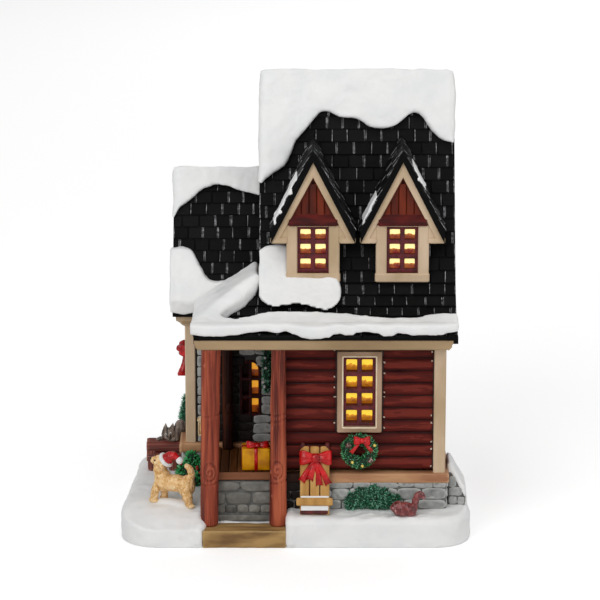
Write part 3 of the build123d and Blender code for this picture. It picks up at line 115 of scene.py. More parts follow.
# Base: a slab of cast ceramic glazed white as lying snow, hollow under the house.
# Its top is lumpy by hand modelling, the snow curls up beside the step, and the rear right corner is drawn in.
def tint(code):
    """Linear colour of a paint, from its six-digit screen code."""
    values = [int(code[i:i + 2], 16) / 255 for i in (1, 3, 5)]
    return [v / 12.92 if v <= 0.04045 else ((v + 0.055) / 1.055) ** 2.4 for v in values] + [1.0]


def paint(name, tones, grain=300.0, stretch=(1, 1, 1), rough=(0.5, 0.8), tooth=900.0, bump=0.25,
          spread=0.0, edge=None, hollow_shade=None, gloss=0.4):
    """Brushed ceramic paint: mottled tones, uneven sheen, fine tooth, edges lightened as wear and painted highlight,
    and hollows darkened as painted shade.
    """
    finish = bpy.data.materials.new(name)
    finish.use_nodes = True
    tree, links = finish.node_tree, finish.node_tree.links
    place = add(tree, "TexCoord").outputs["Object"]
    lay = add(tree, "Mapping", Vector=place, Scale=stretch).outputs[0]
    blotch = add(tree, "TexNoise", Vector=lay, Scale=grain, Detail=6).outputs[0]
    pick = blotch
    if spread:
        mark = add(tree, "Attribute")
        mark.attribute_name = "shade"
        shift = add(tree, "Math")
        shift.operation = "MULTIPLY_ADD"
        shift.inputs[1].default_value = spread
        links.new(mark.outputs["Fac"], shift.inputs[0])
        links.new(pick, shift.inputs[2])
        pick = shift.outputs[0]
    ramp = add(tree, "ValToRGB", Fac=pick)
    low, high = 0.36, 0.64 + spread
    stops = ramp.color_ramp.elements
    stops[0].position = low
    stops[-1].position = high
    for index in range(1, len(tones) - 1):
        stops.new(low + (high - low) * index / (len(tones) - 1))
    for stop, tone in zip(stops, tones):
        stop.color = tint(tone)
    colour = ramp.outputs[0]
    # The first tone lightens raised edges, as dry-brushed wear and as painted highlight; the second darkens hollows
    # as painted shade.
    for tone, near, far in ((edge, 0.515, 0.57), (hollow_shade, 0.485, 0.42)):
        if tone:
            bend = add(tree, "NewGeometry").outputs["Pointiness"]
            amount = add(tree, "MapRange", Value=bend, From_Min=near, From_Max=far)
            blend = add(tree, "Mix")
            blend.data_type = "RGBA"
            links.new(amount.outputs[0], blend.inputs[0])
            links.new(colour, blend.inputs[6])
            blend.inputs[7].default_value = tint(tone)
            colour = blend.outputs[2]
    sheen = add(tree, "MapRange", Value=blotch, From_Min=0.3, From_Max=0.7, To_Min=rough[0], To_Max=rough[1])
    teeth = add(tree, "TexNoise", Vector=lay, Scale=tooth, Detail=5)
    relief = add(tree, "Bump", Strength=bump, Distance=0.0003, Height=teeth.outputs[0])
    join(tree, tree.nodes["Principled BSDF"], Base_Color=colour, Roughness=sheen.outputs[0],
         Normal=relief.outputs[0], Specular_IOR_Level=gloss)
    return finish


def blank():
    """Empty shape in millimetres, with a tone for each point."""
    shape = bmesh.new()
    shape.verts.layers.float.new("shade")
    return shape


def cad_skin(node):
    """Welded copy of a CAD node's skin, in millimetres."""
    shape = bmesh.new()
    shape.from_mesh(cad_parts[node].data)
    bmesh.ops.scale(shape, vec=(1 / MM, 1 / MM, 1 / MM), verts=shape.verts)
    bmesh.ops.remove_doubles(shape, verts=shape.verts, dist=0.002)
    return shape


def piece(name, shape, *finishes, soft=True):
    """Object from a shape in millimetres."""
    bmesh.ops.scale(shape, vec=(MM, MM, MM), verts=shape.verts)
    bmesh.ops.recalc_face_normals(shape, faces=shape.faces)
    mesh = bpy.data.meshes.new(name)
    shape.to_mesh(mesh)
    shape.free()
    for finish in finishes:
        mesh.materials.append(finish)
    if soft:
        mesh.shade_smooth()
    obj = bpy.data.objects.new(name, mesh)
    bpy.context.collection.objects.link(obj)
    return obj


def cast(name, shape, finish, voxel, rounds, swell=None):
    """Even, softened casting of a closed shape, with its skin pushed out or in by a rule."""
    obj = piece(name, shape)
    even = obj.modifiers.new("even", "REMESH")
    even.mode = "VOXEL"
    even.voxel_size = voxel * MM
    ease = obj.modifiers.new("ease", "SMOOTH")
    ease.factor = 0.5
    ease.iterations = rounds
    graph = bpy.context.evaluated_depsgraph_get()
    mesh = bpy.data.meshes.new_from_object(obj.evaluated_get(graph))
    obj.modifiers.clear()
    obj.data = mesh
    mesh.materials.clear()
    mesh.materials.append(finish)
    mesh.shade_smooth()
    if swell:
        normals = [v.normal.copy() for v in mesh.vertices]
        for vert, normal in zip(mesh.vertices, normals):
            vert.co += normal * (swell(vert.co / MM, normal) * MM)
    return obj


def fit(obj, slot, *nodes):
    """Fix a piece to the house and hide the CAD nodes that it stands for; slot is not used."""
    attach(obj, "root")
    if nodes:
        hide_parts(*nodes)
    return obj


def ripple(place, size):
    """Soft unevenness with lumps of about a size in millimetres, from -1 to 1."""
    return noise.fractal(Vector(place) / size, 1.0, 2.0, 3)


def smooth(share):
    """Share from 0 to 1, held within that range and eased at both ends."""
    share = min(1.0, max(0.0, share))
    return share * share * (3 - 2 * share)


def egg(shape, place, axis, half_length, half_breadth):
    """Round lump drawn out along an axis."""
    turn = Vector(axis).to_track_quat("Z", "Y").to_matrix().to_4x4()
    stretch = Matrix.Diagonal((half_breadth, half_breadth, half_length, 1))
    bmesh.ops.create_icosphere(shape, subdivisions=3, radius=1.0,
                               matrix=Matrix.Translation(place) @ turn @ stretch)


snow_glaze = paint("snow_glaze", ["#e5e6e6", "#eaeae9", "#ededec"], grain=90, rough=(0.35, 0.6), tooth=500,
                   bump=0.25, hollow_shade="#dcdedf")
step_left, step_right = -35.5, -3.0


def base_swell(p, n):
    if p.z < 1.5:
        return 0.0
    rise = 0.55 * ripple(p, 13) + 0.16 * ripple(p, 3.6)
    for edge in (step_left - 1.9, step_right + 1.9):
        if p.y < -43:
            rise += 0.9 * math.exp(-((p.x - edge) / 1.7) ** 2)
    if p.z > 10 and -52.5 < p.y < -45 and 16 < p.x < 56:
        rise += 0.45 * ripple(p, 2.4)
    return rise


slab = cad_skin("base_plinth")
egg(slab, (-35.9, -49.0, 7.4), (0.05, 1, 0.1), 4.6, 1.9)
egg(slab, (-47.5, -36.0, 11.2), (1, -0.4, 0), 11.0, 3.1)
base = cast("snow_base", slab, snow_glaze, 0.62, 4, base_swell)
corner_x, corner_start, corner_run, corner_pull = 61, 5, 43, 0.85
for vert in base.data.vertices:
    if vert.co.x / MM > corner_x:
        vert.co.x -= (vert.co.x - corner_x * MM) * corner_pull * smooth((vert.co.y / MM + corner_start) / corner_run)
fit(base, "snow_glaze", "base_plinth")


# Front step: a low slab let into the edge of the base between the porch posts.
# Brushed brown over tan, with the brush marks along it and a worn front edge.
def recast(name, node, slot, finish, voxel, rounds, swell=None):
    """Softened casting that stands for a CAD node of the house."""
    return fit(cast(name, cad_skin(node), finish, voxel, rounds, swell), slot, node)


step_paint = paint("step_paint", ["#74552f", "#947344", "#ac8a56"], grain=260, stretch=(0.25, 1, 1),
                   bump=0.35, edge="#b99a66", hollow_shade="#4a3318")
recast("plank_step", "front_step", "step_paint", step_paint, 0.42, 4,
       lambda p, n: 0.22 * ripple((p.x * 0.4, p.y, p.z), 3.0))


# Stone foundations and stone wing: fieldstones modelled one by one on the cast wall, painted in
# several greys over a dark wash that stays in the joints.
def loft(shape, rings, shade=0.5, ends=True, finish=0):
    """Closed tube through rings of points, with one tone or a list of them; gives back its rows of faces."""
    tone = shape.verts.layers.float["shade"]
    rows = []
    for ring in rings:
        row = [shape.verts.new(point) for point in ring]
        for index, vert in enumerate(row):
            vert[tone] = shade[index] if isinstance(shade, list) else shade
        rows.append(row)
    count = len(rows[0])
    bands = []
    for a, b in zip(rows, rows[1:]):
        band = []
        for i in range(count):
            j = (i + 1) % count
            side = shape.faces.new((a[i], a[j], b[j], b[i]))
            side.material_index = finish
            band.append(side)
        bands.append(band)
    if ends:
        shape.faces.new(rows[0][::-1]).material_index = finish
        shape.faces.new(rows[-1]).material_index = finish
    return bands


def wall(side, at):
    """Upright plane on a side of the house: gives the point for a place along it, a height and a distance out."""
    along, out = {"front": ((1, 0, 0), (0, -1, 0)), "rear": ((1, 0, 0), (0, 1, 0)),
                  "left": ((0, 1, 0), (-1, 0, 0)), "right": ((0, 1, 0), (1, 0, 0))}[side]
    along, out = Vector(along), Vector(out)
    origin = Vector([at * abs(part) for part in out])
    return lambda u, v, n: origin + along * u + out * n + Vector((0, 0, v))


def plain(left, right):
    """Span that is the same at every height."""
    return lambda v: [(left, right)]


def turns(count):
    """Angles all round a circle."""
    return [2 * math.pi * step / count for step in range(count)]


def stone(shape, put, left, right, low, high, proud, dice):
    """One rounded fieldstone, closed at the back and bedded in the wall behind it."""
    half_u, half_v = (right - left) / 2, (high - low) / 2
    seed = dice.uniform(0, 99)
    small = min(half_u, half_v)
    rings = []
    for inset, rise in ((0.10, -0.9), (0.0, 0.25), (0.07, 0.7), (0.26, 0.97), (0.62, 1.04)):
        ring = []
        for turn in turns(18):
            c, s = math.cos(turn), math.sin(turn)
            square = (abs(c) ** 4.5 + abs(s) ** 4.5) ** (-1 / 4.5)
            wave = 1 + 0.13 * noise.noise((c * 1.4 + seed, s * 1.4, seed))
            u = (left + right) / 2 + (half_u - inset * small) * c * square * wave
            v = (low + high) / 2 + (half_v - inset * small) * s * square * wave
            lump = 0.22 * noise.noise((u * 0.45, v * 0.45, seed)) if rise > 0.5 else 0.0
            ring.append(put(u, v, rise * proud + lump if rise > 0 else rise))
        rings.append(ring)
    loft(shape, rings, dice.random())


joint = 0.1


def stonework(shape, put, spans, low, high, dice, course=(3.3, 4.7), length=(4.5, 9.5), proud=(0.35, 0.9)):
    """Wall face of stones laid in uneven courses between the ends that spans gives for a height."""
    while low < high - 1.0:
        top = low + dice.uniform(*course)
        if high - top < 2.2:
            top = high
        for left, right in spans((low + top) / 2):
            while left < right - 0.6:
                end = left + dice.uniform(*length)
                if right - end < 2.6:
                    end = right
                drop = dice.uniform(-0.25, 0.25)
                stone(shape, put, left + joint, end - joint, low + joint + drop, top - joint + drop,
                      dice.uniform(*proud), dice)
                left = end
        low = top


def stone_piece(name, finish, dice, *faces):
    """Piece with the stones of some wall faces."""
    stones = blank()
    for side, at, spans, low, high, sizes in faces:
        stonework(stones, wall(side, at), spans, low, high, dice, **sizes)
    fit(piece(name, stones, finish), "stone_paint")


def dress(node, finish, soft=None):
    """Give a CAD node its finish, and soften its edges by so many millimetres."""
    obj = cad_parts[node]
    for held in obj.material_slots:
        held.material = finish
    if soft:
        weld = obj.modifiers.new("weld", "WELD")
        weld.merge_threshold = 0.000002
        bevel = obj.modifiers.new("soften", "BEVEL")
        bevel.width = soft * MM
        bevel.segments = 2
        bevel.limit_method = "ANGLE"
        bevel.angle_limit = math.radians(35)
        even = obj.modifiers.new("even", "WEIGHTED_NORMAL")
        even.weight = 100


main_left, main_right, main_front, main_rear = -7.0, 58.5, -41.0, 45.0
wing_left, wing_front, wing_rear = -43.0, -6.0, 40.0
porch_left, porch_right = -35.5, -8.0
foundation_low, foundation_high = 12.0, 23.6
mortar = paint("mortar_wash", ["#525352", "#626361", "#70716e"], grain=400, bump=0.4)
stone_coat = dict(grain=330, bump=0.5, tooth=1100, spread=0.45)
stone_paint = paint("stone_paint", ["#6c6d6c", "#898a88", "#9b9c9a", "#b0b1ae", "#8f908d"], hollow_shade="#4a4c4b",
                    edge="#b4b5b1", **stone_coat)
for node in ("main_foundation", "porch_foundation", "wing_foundation", "stone_buttress"):
    dress(node, mortar)
dress("wing_walls", paint("shaded_mortar", ["#1e1c1b", "#2b2927", "#393734"], grain=400, bump=0.4))

sled_shadow = 3.0
foot_left, foot_right, foot_front, foot_rear = -8.0, 59.5, -42.0, 46.0
wing_foot_left, wing_foot_front, wing_foot_rear = -44.0, -7.0, 41.0
foot_rows = (foundation_low, foundation_high)
stone_piece("main_foundation_stones", stone_paint, random.Random(11),
            ("front", foot_front, plain(sled_shadow, foot_right), *foot_rows, dict(length=(5.5, 11.5))),
            ("right", foot_right, plain(foot_front, foot_rear), *foot_rows, {}),
            ("rear", foot_rear, plain(foot_left, foot_right), *foot_rows, {}))
stone_piece("wing_foundation_stones", stone_paint, random.Random(12),
            ("left", wing_foot_left, plain(wing_foot_front, wing_foot_rear), *foot_rows, {}),
            ("rear", wing_foot_rear, plain(wing_foot_left, foot_left), *foot_rows, {}),
            ("front", wing_foot_front, plain(wing_foot_left, porch_left), *foot_rows, {}))

dice = random.Random(13)
stones = blank()
front_face = wall("front", foot_front)
for low, high, count in ((7.1, 9.6, 1), (10.4, 13.9, 6), (13.9, 19.2, 3), (19.2, 23.5, 2)):
    edges = [porch_left + (porch_right - porch_left) * i / count for i in range(count + 1)]
    edges[1:-1] = [edge + dice.uniform(-0.9, 0.9) for edge in edges[1:-1]]
    for left, right in zip(edges, edges[1:]):
        stone(stones, front_face, left + joint, right - joint, low + joint, high - joint,
              dice.uniform(0.45, 0.8), dice)
stonework(stones, wall("left", porch_left), plain(foot_front, porch_right), *foot_rows, dice)
# The porch's front and side stones are painted darker grey, as shade under the porch.
porch_shaded_stone = paint("porch_shaded_stone", ["#4c4c48", "#666560", "#77756f", "#8a8882"], hollow_shade="#363633", gloss=0.25,
                    **stone_coat)
fit(piece("porch_foundation_stones", stones, porch_shaded_stone), "stone_paint")

wall_low, wall_high, eave_high = 27.8, 78.0, 81.6
arch_left, arch_right, arch_low, arch_high = -21.9, -13.1, 38.4, 62.4
arch_spring, arch_radius = 57.8, 4.4
corner_left, corner_right, lit_left = -38.7, -36.0, -16.5
wing_right = -9.0


def arch_ease(v):
    """How far the arch's head has drawn in at a height."""
    if v < arch_spring:
        return 0.0
    return arch_radius - math.sqrt(max(0.0, arch_radius ** 2 - (v - arch_spring) ** 2))


def wing_front_spans(v):
    if v < arch_low:
        inner = lit_left
    else:
        inner = arch_left if v > arch_high else arch_right - arch_ease(v)
    return [(corner_left, corner_right), (inner, wing_right)]


def porch_corner_spans(v):
    if v < arch_low:
        return [(corner_right, lit_left)]
    return [(corner_right, arch_left + (0.0 if v > arch_high else arch_ease(v)))]


def wing_gable_spans(v):
    if v < wall_high:
        return [(-1.7, 35.7)]
    above, gable_rise = max(0, v - 80.6), 42.4
    return [(-2 + above * (18 / gable_rise), 36 - above * 20 / gable_rise)]


dice = random.Random(14)
wall_rows, even_face = (wall_low, wall_high), dict(proud=(0.3, 0.7))
# Near-black stones are painted shadow: in the porch corner left of and under the arch, and on the foundation behind
# the sled and post.
painted_shadow_stone = paint("painted_shadow_stone", ["#0d0908", "#17110f", "#211a17", "#2d2521"], hollow_shade="#120f0e", gloss=0.2,
                   **stone_coat)
stone_piece("wing_wall_stones", stone_paint, dice, ("front", wing_front, wing_front_spans, *wall_rows, even_face),
            ("left", wing_left, wing_gable_spans, wall_low, 121.0, dict(proud=(0.2, 0.5))),
            ("rear", wing_rear, plain(corner_left, wing_right), *wall_rows, {}))
stone_piece("porch_corner_shadow_stones", painted_shadow_stone, dice, ("front", wing_front, porch_corner_spans, *wall_rows, even_face))
stone_piece("sled_shadow_stones", painted_shadow_stone, dice,
            ("front", foot_front, plain(foot_left, sled_shadow), *foot_rows, {}))

# Timber sills and porch floor: the sills are half-round beams on the stones, painted brown over tan.
# The porch floor is of planks laid front to back between them.
sill_paint = paint("sill_paint", ["#9c6a49", "#b07f5a", "#bd8f68"], grain=150, stretch=(0.35, 0.35, 1.2),
                   bump=0.3, edge="#c99f78")


def sill_swell(p, n):
    end = 1.0 if n.x < -0.6 and p.x < -40 else 0.0
    return end + 0.20 * ripple((p.x * 0.16, p.y * 0.16, p.z * 1.6), 2.0)


beam = cad_skin("main_sill")
sill_drop = 0.9
bmesh.ops.translate(beam, vec=(0, 0, -sill_drop), verts=beam.verts)
beam = fit(cast("main_sill_beam", beam, sill_paint, 0.5, 14, sill_swell), "sill_paint", "main_sill")
# The sill's left end, behind the sled and the post, is painted near black as their shadow.
beam.data.materials.append(paint("sill_painted_shadow", ["#1c0d07", "#2b150b", "#3a1f12"], grain=210, gloss=0.2))
for side in beam.data.polygons:
    if side.center.x < sled_shadow * MM and side.center.y < -0.04:
        side.material_index = 1
recast("wing_sill_beam", "wing_sill", "sill_paint", sill_paint, 0.5, 14, sill_swell)


def board(shape, low, high, soft=0.25, put=None, shade=0.5, finish=0):
    """Straight board with eased edges between two corners, placed by a matrix where one is given."""
    x0, y0, z0 = low
    x1, y1, z1 = high
    soft = min(soft, (x1 - x0) / 3, (y1 - y0) / 3, (z1 - z0) / 3)
    rings = []
    for z, inset in ((z0, soft), (z0 + soft, 0.0), (z1 - soft, 0.0), (z1, soft)):
        a, b, c, d = x0 + inset, x1 - inset, y0 + inset, y1 - inset
        s = soft
        ring = [(a + s, c), (b - s, c), (b, c + s), (b, d - s), (b - s, d), (a + s, d), (a, d - s), (a, c + s)]
        ring = [Vector((x, y, z)) for x, y in ring]
        rings.append([put @ point for point in ring] if put else ring)
    return loft(shape, rings, shade, finish=finish)


dice = random.Random(15)
planks = blank()
plank_count, plank_gap = 8, 0.08
plank_width = 26.5 / plank_count
for index in range(plank_count):
    x = porch_left + index * plank_width
    board(planks, (x + plank_gap, foot_front + dice.uniform(-0.2, 0.2), foundation_high),
          (x + plank_width - plank_gap, porch_right, 26.3), 0.35, shade=dice.random())
# The planks are dark brown, painted darker still as shade under the porch roof.
shaded_floor_paint = paint("shaded_floor_paint", ["#3a1c0c", "#55300f", "#70431f"], grain=300, stretch=(1, 0.15, 1), spread=0.4,
                    bump=0.4, gloss=0.2)
fit(piece("porch_planks", planks, shaded_floor_paint, soft=False), "sill_paint", "porch_floor")
planks = blank()
board(planks, (-35.6, -42.8, 24.0), (-8.4, -41.4, 27.2), 0.5)
edge_paint = paint("edge_paint", ["#6b4128", "#835338", "#966648"], grain=210, stretch=(0.2, 1, 1), spread=0.4,
                   bump=0.35, gloss=0.2)
fit(piece("porch_edge_board", planks, edge_paint, soft=False), "sill_paint")


# Log walls: round logs cast in courses, brushed dark red, with grain lines along each log and painted light and shade
# across it.
# They butt against the window frames and corner boards, where the paint has chipped to the clay.
def log(shape, put, left, right, low, high, dice):
    """One log between two places along a wall, closed at its back and ends."""
    seed = dice.uniform(0, 99)
    middle, half = (low + high) / 2, (high - low) / 2
    steps = max(5, int((right - left) / 1.1))
    rings = []
    for i in range(steps + 1):
        u = left + (right - left) * i / steps
        pinch = (0.62, 0.9, 1.0)[min(i, steps - i, 2)]
        ring = []
        for a in range(-5, 6):
            turn = math.radians(a * 16.5)
            v = middle + half * 0.985 * math.sin(turn) / math.sin(math.radians(82.5))
            grain = 0.17 * noise.noise((u * 0.13, v * 1.9, seed)) + 0.09 * noise.noise((u * 0.4, v * 4.5, seed))
            ring.append(put(u, v, -1.15 + 1.5 * math.cos(turn) * pinch + grain))
        ring += [put(u, high - 0.05, -1.5), put(u, low + 0.05, -1.5)]
        rings.append(ring)
    own = dice.uniform(0, 0.25)
    # Painted light and shade: each log's tone is lightest a little above its middle and falls off darkest towards its
    # foot.
    tones = [own + 0.75 * max(0.0, 1 - ((a + 5) / 10 - 0.6) ** 2 / 0.25) for a in range(-5, 6)]
    bands = loft(shape, rings, tones + [own, own])
    for band in (bands[0], bands[-1]):
        if dice.random() < 0.6:
            band[dice.randrange(2, 9)].material_index = 1


def log_courses(shape, put, spans, low, high, dice):
    """Stack of logs between the ends that spans gives for a height."""
    pitch = 5.02
    while low < high - 1.0:
        top = min(low + pitch, high)
        for left, right in spans((low + top) / 2):
            if right - left > 1.5:
                log(shape, put, left, right, low, top, dice)
        low += pitch


bare_clay = paint("bare_clay", ["#cbb9a5", "#d8cabb"], grain=500, bump=0.3)
log_tones = ["#1d0403", "#310806", "#48100b", "#5b1a13", "#6d271e"]
log_paint = {
    way: paint("log_paint_" + name, log_tones, grain=420, stretch=stretch, bump=0.45, spread=0.55, hollow_shade="#1c0403",
               gloss=0.16)
    for way, name, stretch in (("x", "front", (0.16, 1, 1.3)), ("y", "side", (1, 0.16, 1.3)))
}
dress("main_walls", paint("log_shadow", ["#220809", "#340f0e"], grain=300))
window_low, window_high = 43.5, 76.5
gable_top, gable_peak, ridge_y = 158.0, 160.5, 8
front_run, rear_run = 0.4478, 0.4156


def beside_window(low, left, right, high):
    """Log runs of a wall that a framed window interrupts."""
    return lambda v: [(low, left), (right, high)] if window_low - 1.0 < v < window_high + 1.0 else [(low, high)]


def under_gable(below):
    """Log runs of an end wall: by a rule up to the eaves, and then between the roof's two slopes."""
    return lambda v: below(v) if v < eave_high else [(ridge_y - (gable_peak - v) * front_run,
                                                      ridge_y + (gable_peak - v) * rear_run)]


dice = random.Random(21)
for name, side, at, spans, top, way in (
    ("front_logs", "front", main_front, beside_window(main_left, 16.55, 34.25, 54.3), eave_high, "x"),
    ("rear_logs", "rear", main_rear, beside_window(-2.8, 17.0, 34.5, 54.3), eave_high, "x"),
    ("right_logs", "right", main_right, under_gable(beside_window(-36.8, -2.8, 14.8, 40.8)), gable_top, "y"),
    ("left_logs", "left", main_left, under_gable(plain(main_front, -6.3)), gable_top, "y"),
):
    logs = blank()
    log_courses(logs, wall(side, at), spans, wall_low, top, dice)
    fit(piece(name, logs, log_paint[way], bare_clay), "log_paint")

# Trim: straight boards over the corners and along the eaves, brushed tan. A small moulded corbel
# closes each end of the front eave board, and a moulded cap tops the wing's front corner board.
tan_paint = paint("tan_paint", ["#b69d7c", "#c7ae90", "#d4bca0"], grain=120, stretch=(0.6, 0.6, 0.25), bump=0.3,
                  gloss=0.25)
eave_paint = paint("eave_paint", ["#8c7353", "#a28867", "#b49a78"], grain=120, stretch=(0.25, 0.6, 0.6), bump=0.3,
                   spread=0.2, gloss=0.25)
fascia_low, board_top, board_width, wing_board_width = 78.0, 79.6, 4.2, 3.6
trim = blank()
for x, y, in_x, in_y, low, wide in (
    (main_right, main_front, -1, 1, 26.6, board_width), (main_right, main_rear, -1, -1, 26.6, board_width),
    (main_left, main_rear, 1, -1, 26.6, board_width), (wing_left, wing_front, 1, 1, 27.6, wing_board_width),
    (wing_left, wing_rear, 1, -1, 27.6, board_width),
):
    for reach_x, reach_y, proud_x, proud_y in ((wide, 0.7, 0.3, 1.0), (0.5, board_width, 0.45, 0.8)):
        xs = sorted((x - in_x * proud_x, x + in_x * reach_x))
        ys = sorted((y - in_y * proud_y, y + in_y * reach_y))
        board(trim, (xs[0], ys[0], low), (xs[1], ys[1], board_top), 0.3)
fascia_front, fascia_high = -50.5, 82.9
board(trim, (-36.8, fascia_front, 79.2), (59.6, -44.5, fascia_high), 0.4, finish=1)
for left, right, front, rear in ((-44.5, main_left, -9.5, wing_front), (-44.5, main_left, wing_rear, 43.5),
                                 (-8.5, 60.0, main_rear, 48.5)):
    board(trim, (left, front, fascia_low), (right, rear, eave_high), 0.3, finish=1)
corbel = [(0.0, fascia_high), (1.9, fascia_high), (1.9, 81.9), (1.4, 81.2), (1.4, 80.4), (0.5, 79.4), (0.0, 79.0)]
for x, way in ((59.2, 1), (-36.4, -1)):
    loft(trim, [[Vector((x + way * out, y, z)) for out, z in corbel] for y in (fascia_front, -44.6)], finish=1)
rings = []
for z, left, right, front in ((76.6, -43.7, -39.3, -7.4), (77.2, -44.4, -38.9, -8.0), (78.6, -45.6, -38.7, -8.8),
                              (79.4, -46.7, -38.5, -9.8), (81.5, -46.9, -38.5, -9.9)):
    rings.append([Vector((x, y, z)) for x, y in ((left, front), (right, front), (right, -5.6), (left, -5.6))])
loft(trim, rings)
fit(piece("tan_trim", trim, tan_paint, eave_paint, soft=False), "tan_paint", "trim_boards")


# Shingled roofs: the steep main roof flares out over the front eave, the porch end is hipped, and
# the wing has a plain gable roof. Cast shingles, black, with grey dry-brushed along their joints.
def shingle(shape, foot, across, up, out, width, length, thick, dice):
    """One shingle, thick at its foot, with eased edges and nipped corners."""
    nip = dice.uniform(0.2, 0.5)
    half = width / 2
    lean = dice.uniform(-0.03, 0.03)
    outline = [(-half, nip), (nip - half, 0.0), (half - nip, 0.0), (half, nip), (half, length), (-half, length)]

    def at(a, s, lift):
        return foot + across * (a + lean * s) + up * s + out * (lift * (1 - 0.8 * s / length))

    ease = 0.3
    rings = [[at(a, s, 0.0) - out * 0.5 for a, s in outline], [at(a, s, thick - 0.3) for a, s in outline]]
    rings.append([at(a * (1 - 2 * ease / width), ease + s * (1 - 2 * ease / length), thick) for a, s in outline])
    bands = loft(shape, rings, dice.random())
    for side in (3, 5):
        if dice.random() < 0.75:
            bands[1][side].material_index = 1


def lay_shingles(shape, slope, across, span, reach, course, width, dice):
    """Rows of shingles up a slope, each row breaking joint with the one below it."""
    across = Vector(across)
    s = 0.0
    odd = False
    while s < reach - 1.0:
        start, up, out = slope(s)
        low, high = span(s)
        u = low - (0.5 * width if odd else 0.0) - dice.uniform(0, 0.8)
        while u < high - 0.4:
            wide = width * dice.uniform(0.88, 1.1)
            left, right = max(u, low), min(u + wide, high)
            if right - left > 0.9:
                shingle(shape, start + across * ((left + right) / 2), across, up, out, right - left - 0.22,
                        min(course * 1.3, reach - s), dice.uniform(0.75, 1.05), dice)
            u += wide
        s += course
        odd = not odd


def shingled(name, course, width, dice, *sides):
    """Piece with the shingles of some roof sides."""
    tiles = blank()
    for slope, length, across, span in sides:
        lay_shingles(tiles, slope, across, span, length, course, width, dice)
    fit(piece(name, tiles, roof_black, roof_brushed, soft=False), "roof_paint")


def straight_slope(foot, top):
    """Slope rule and length for a flat roof side, between a foot and a top point."""
    foot, top = Vector(foot), Vector(top)
    up = (top - foot).normalized()
    run = math.hypot(up.x, up.y)
    out = Vector((-up.x / run * up.z, -up.y / run * up.z, run))
    return (lambda s: (foot + up * s, up, out)), (top - foot).length


roof_black = paint("roof_black", ["#060606", "#0d0d0d", "#151515"], grain=260, rough=(0.5, 0.75), bump=0.4,
                   spread=0.5, gloss=0.08)
roof_brushed = paint("roof_brushed", ["#2c2c2e", "#6a6a6c", "#a6a6a8"], grain=700, rough=(0.5, 0.8), bump=0.4)
for node in ("main_roof", "porch_roof", "wing_roof", "left_dormer_roof", "right_dormer_roof"):
    dress(node, roof_black)

roof_left, roof_right, roof_foot, main_ridge = -13.5, 63.0, 84.2, 170
wing_foot, wing_ridge_y, wing_ridge = -12, 16, 131
hip_left, hip_run, hip_rise = -38.5, 25, 14.4
flare_centre = Vector((0, -51.04, 116.0))
flare_radius = 31.82
flare_top, flare_foot = math.radians(-24.1), math.radians(-88.1)
flare_length = flare_radius * (flare_top - flare_foot)
steep_slope, steep_length = straight_slope((0, -22, 103), (0, ridge_y, main_ridge))
rear_slope, rear_length = straight_slope((0, 50, roof_foot), (0, ridge_y, main_ridge))
hip_slope, hip_length = straight_slope((hip_left, 0, roof_foot), (roof_left, 0, roof_foot + hip_rise))


def front_slope(s):
    if s >= flare_length:
        return steep_slope(s - flare_length)
    turn = flare_foot + s / flare_radius
    ray = Vector((0, math.cos(turn), math.sin(turn)))
    return flare_centre + ray * flare_radius, Vector((0, -ray.z, ray.y)), -ray


def front_span(s):
    rise = front_slope(s)[0].z - roof_foot
    return (roof_left if rise > hip_rise else hip_left + hip_run * max(0, rise) / hip_rise), roof_right


def hip_span(s):
    z = hip_slope(s)[0].z
    front = flare_centre.y + math.sqrt(max(0.0, flare_radius ** 2 - (flare_centre.z - z) ** 2))
    return front, wing_foot + (z - roof_foot) * (wing_ridge_y - wing_foot) / (wing_ridge - roof_foot)


dice = random.Random(31)
lengthwise, endwise = (1, 0, 0), (0, 1, 0)
shingled("main_shingles", 5.1, 6.5, dice, (front_slope, flare_length + steep_length, lengthwise, front_span),
         (rear_slope, rear_length, lengthwise, lambda s: (roof_left, roof_right)))
shingled("wing_shingles", 4.9, 6.3, dice, *(
    (*straight_slope((0, foot, roof_foot), (0, wing_ridge_y, wing_ridge)), lengthwise, lambda s: (-48.0, main_left))
    for foot in (wing_foot, 46)))
shingled("porch_shingles", 4.9, 5.6, dice, (hip_slope, hip_length, endwise, hip_span))

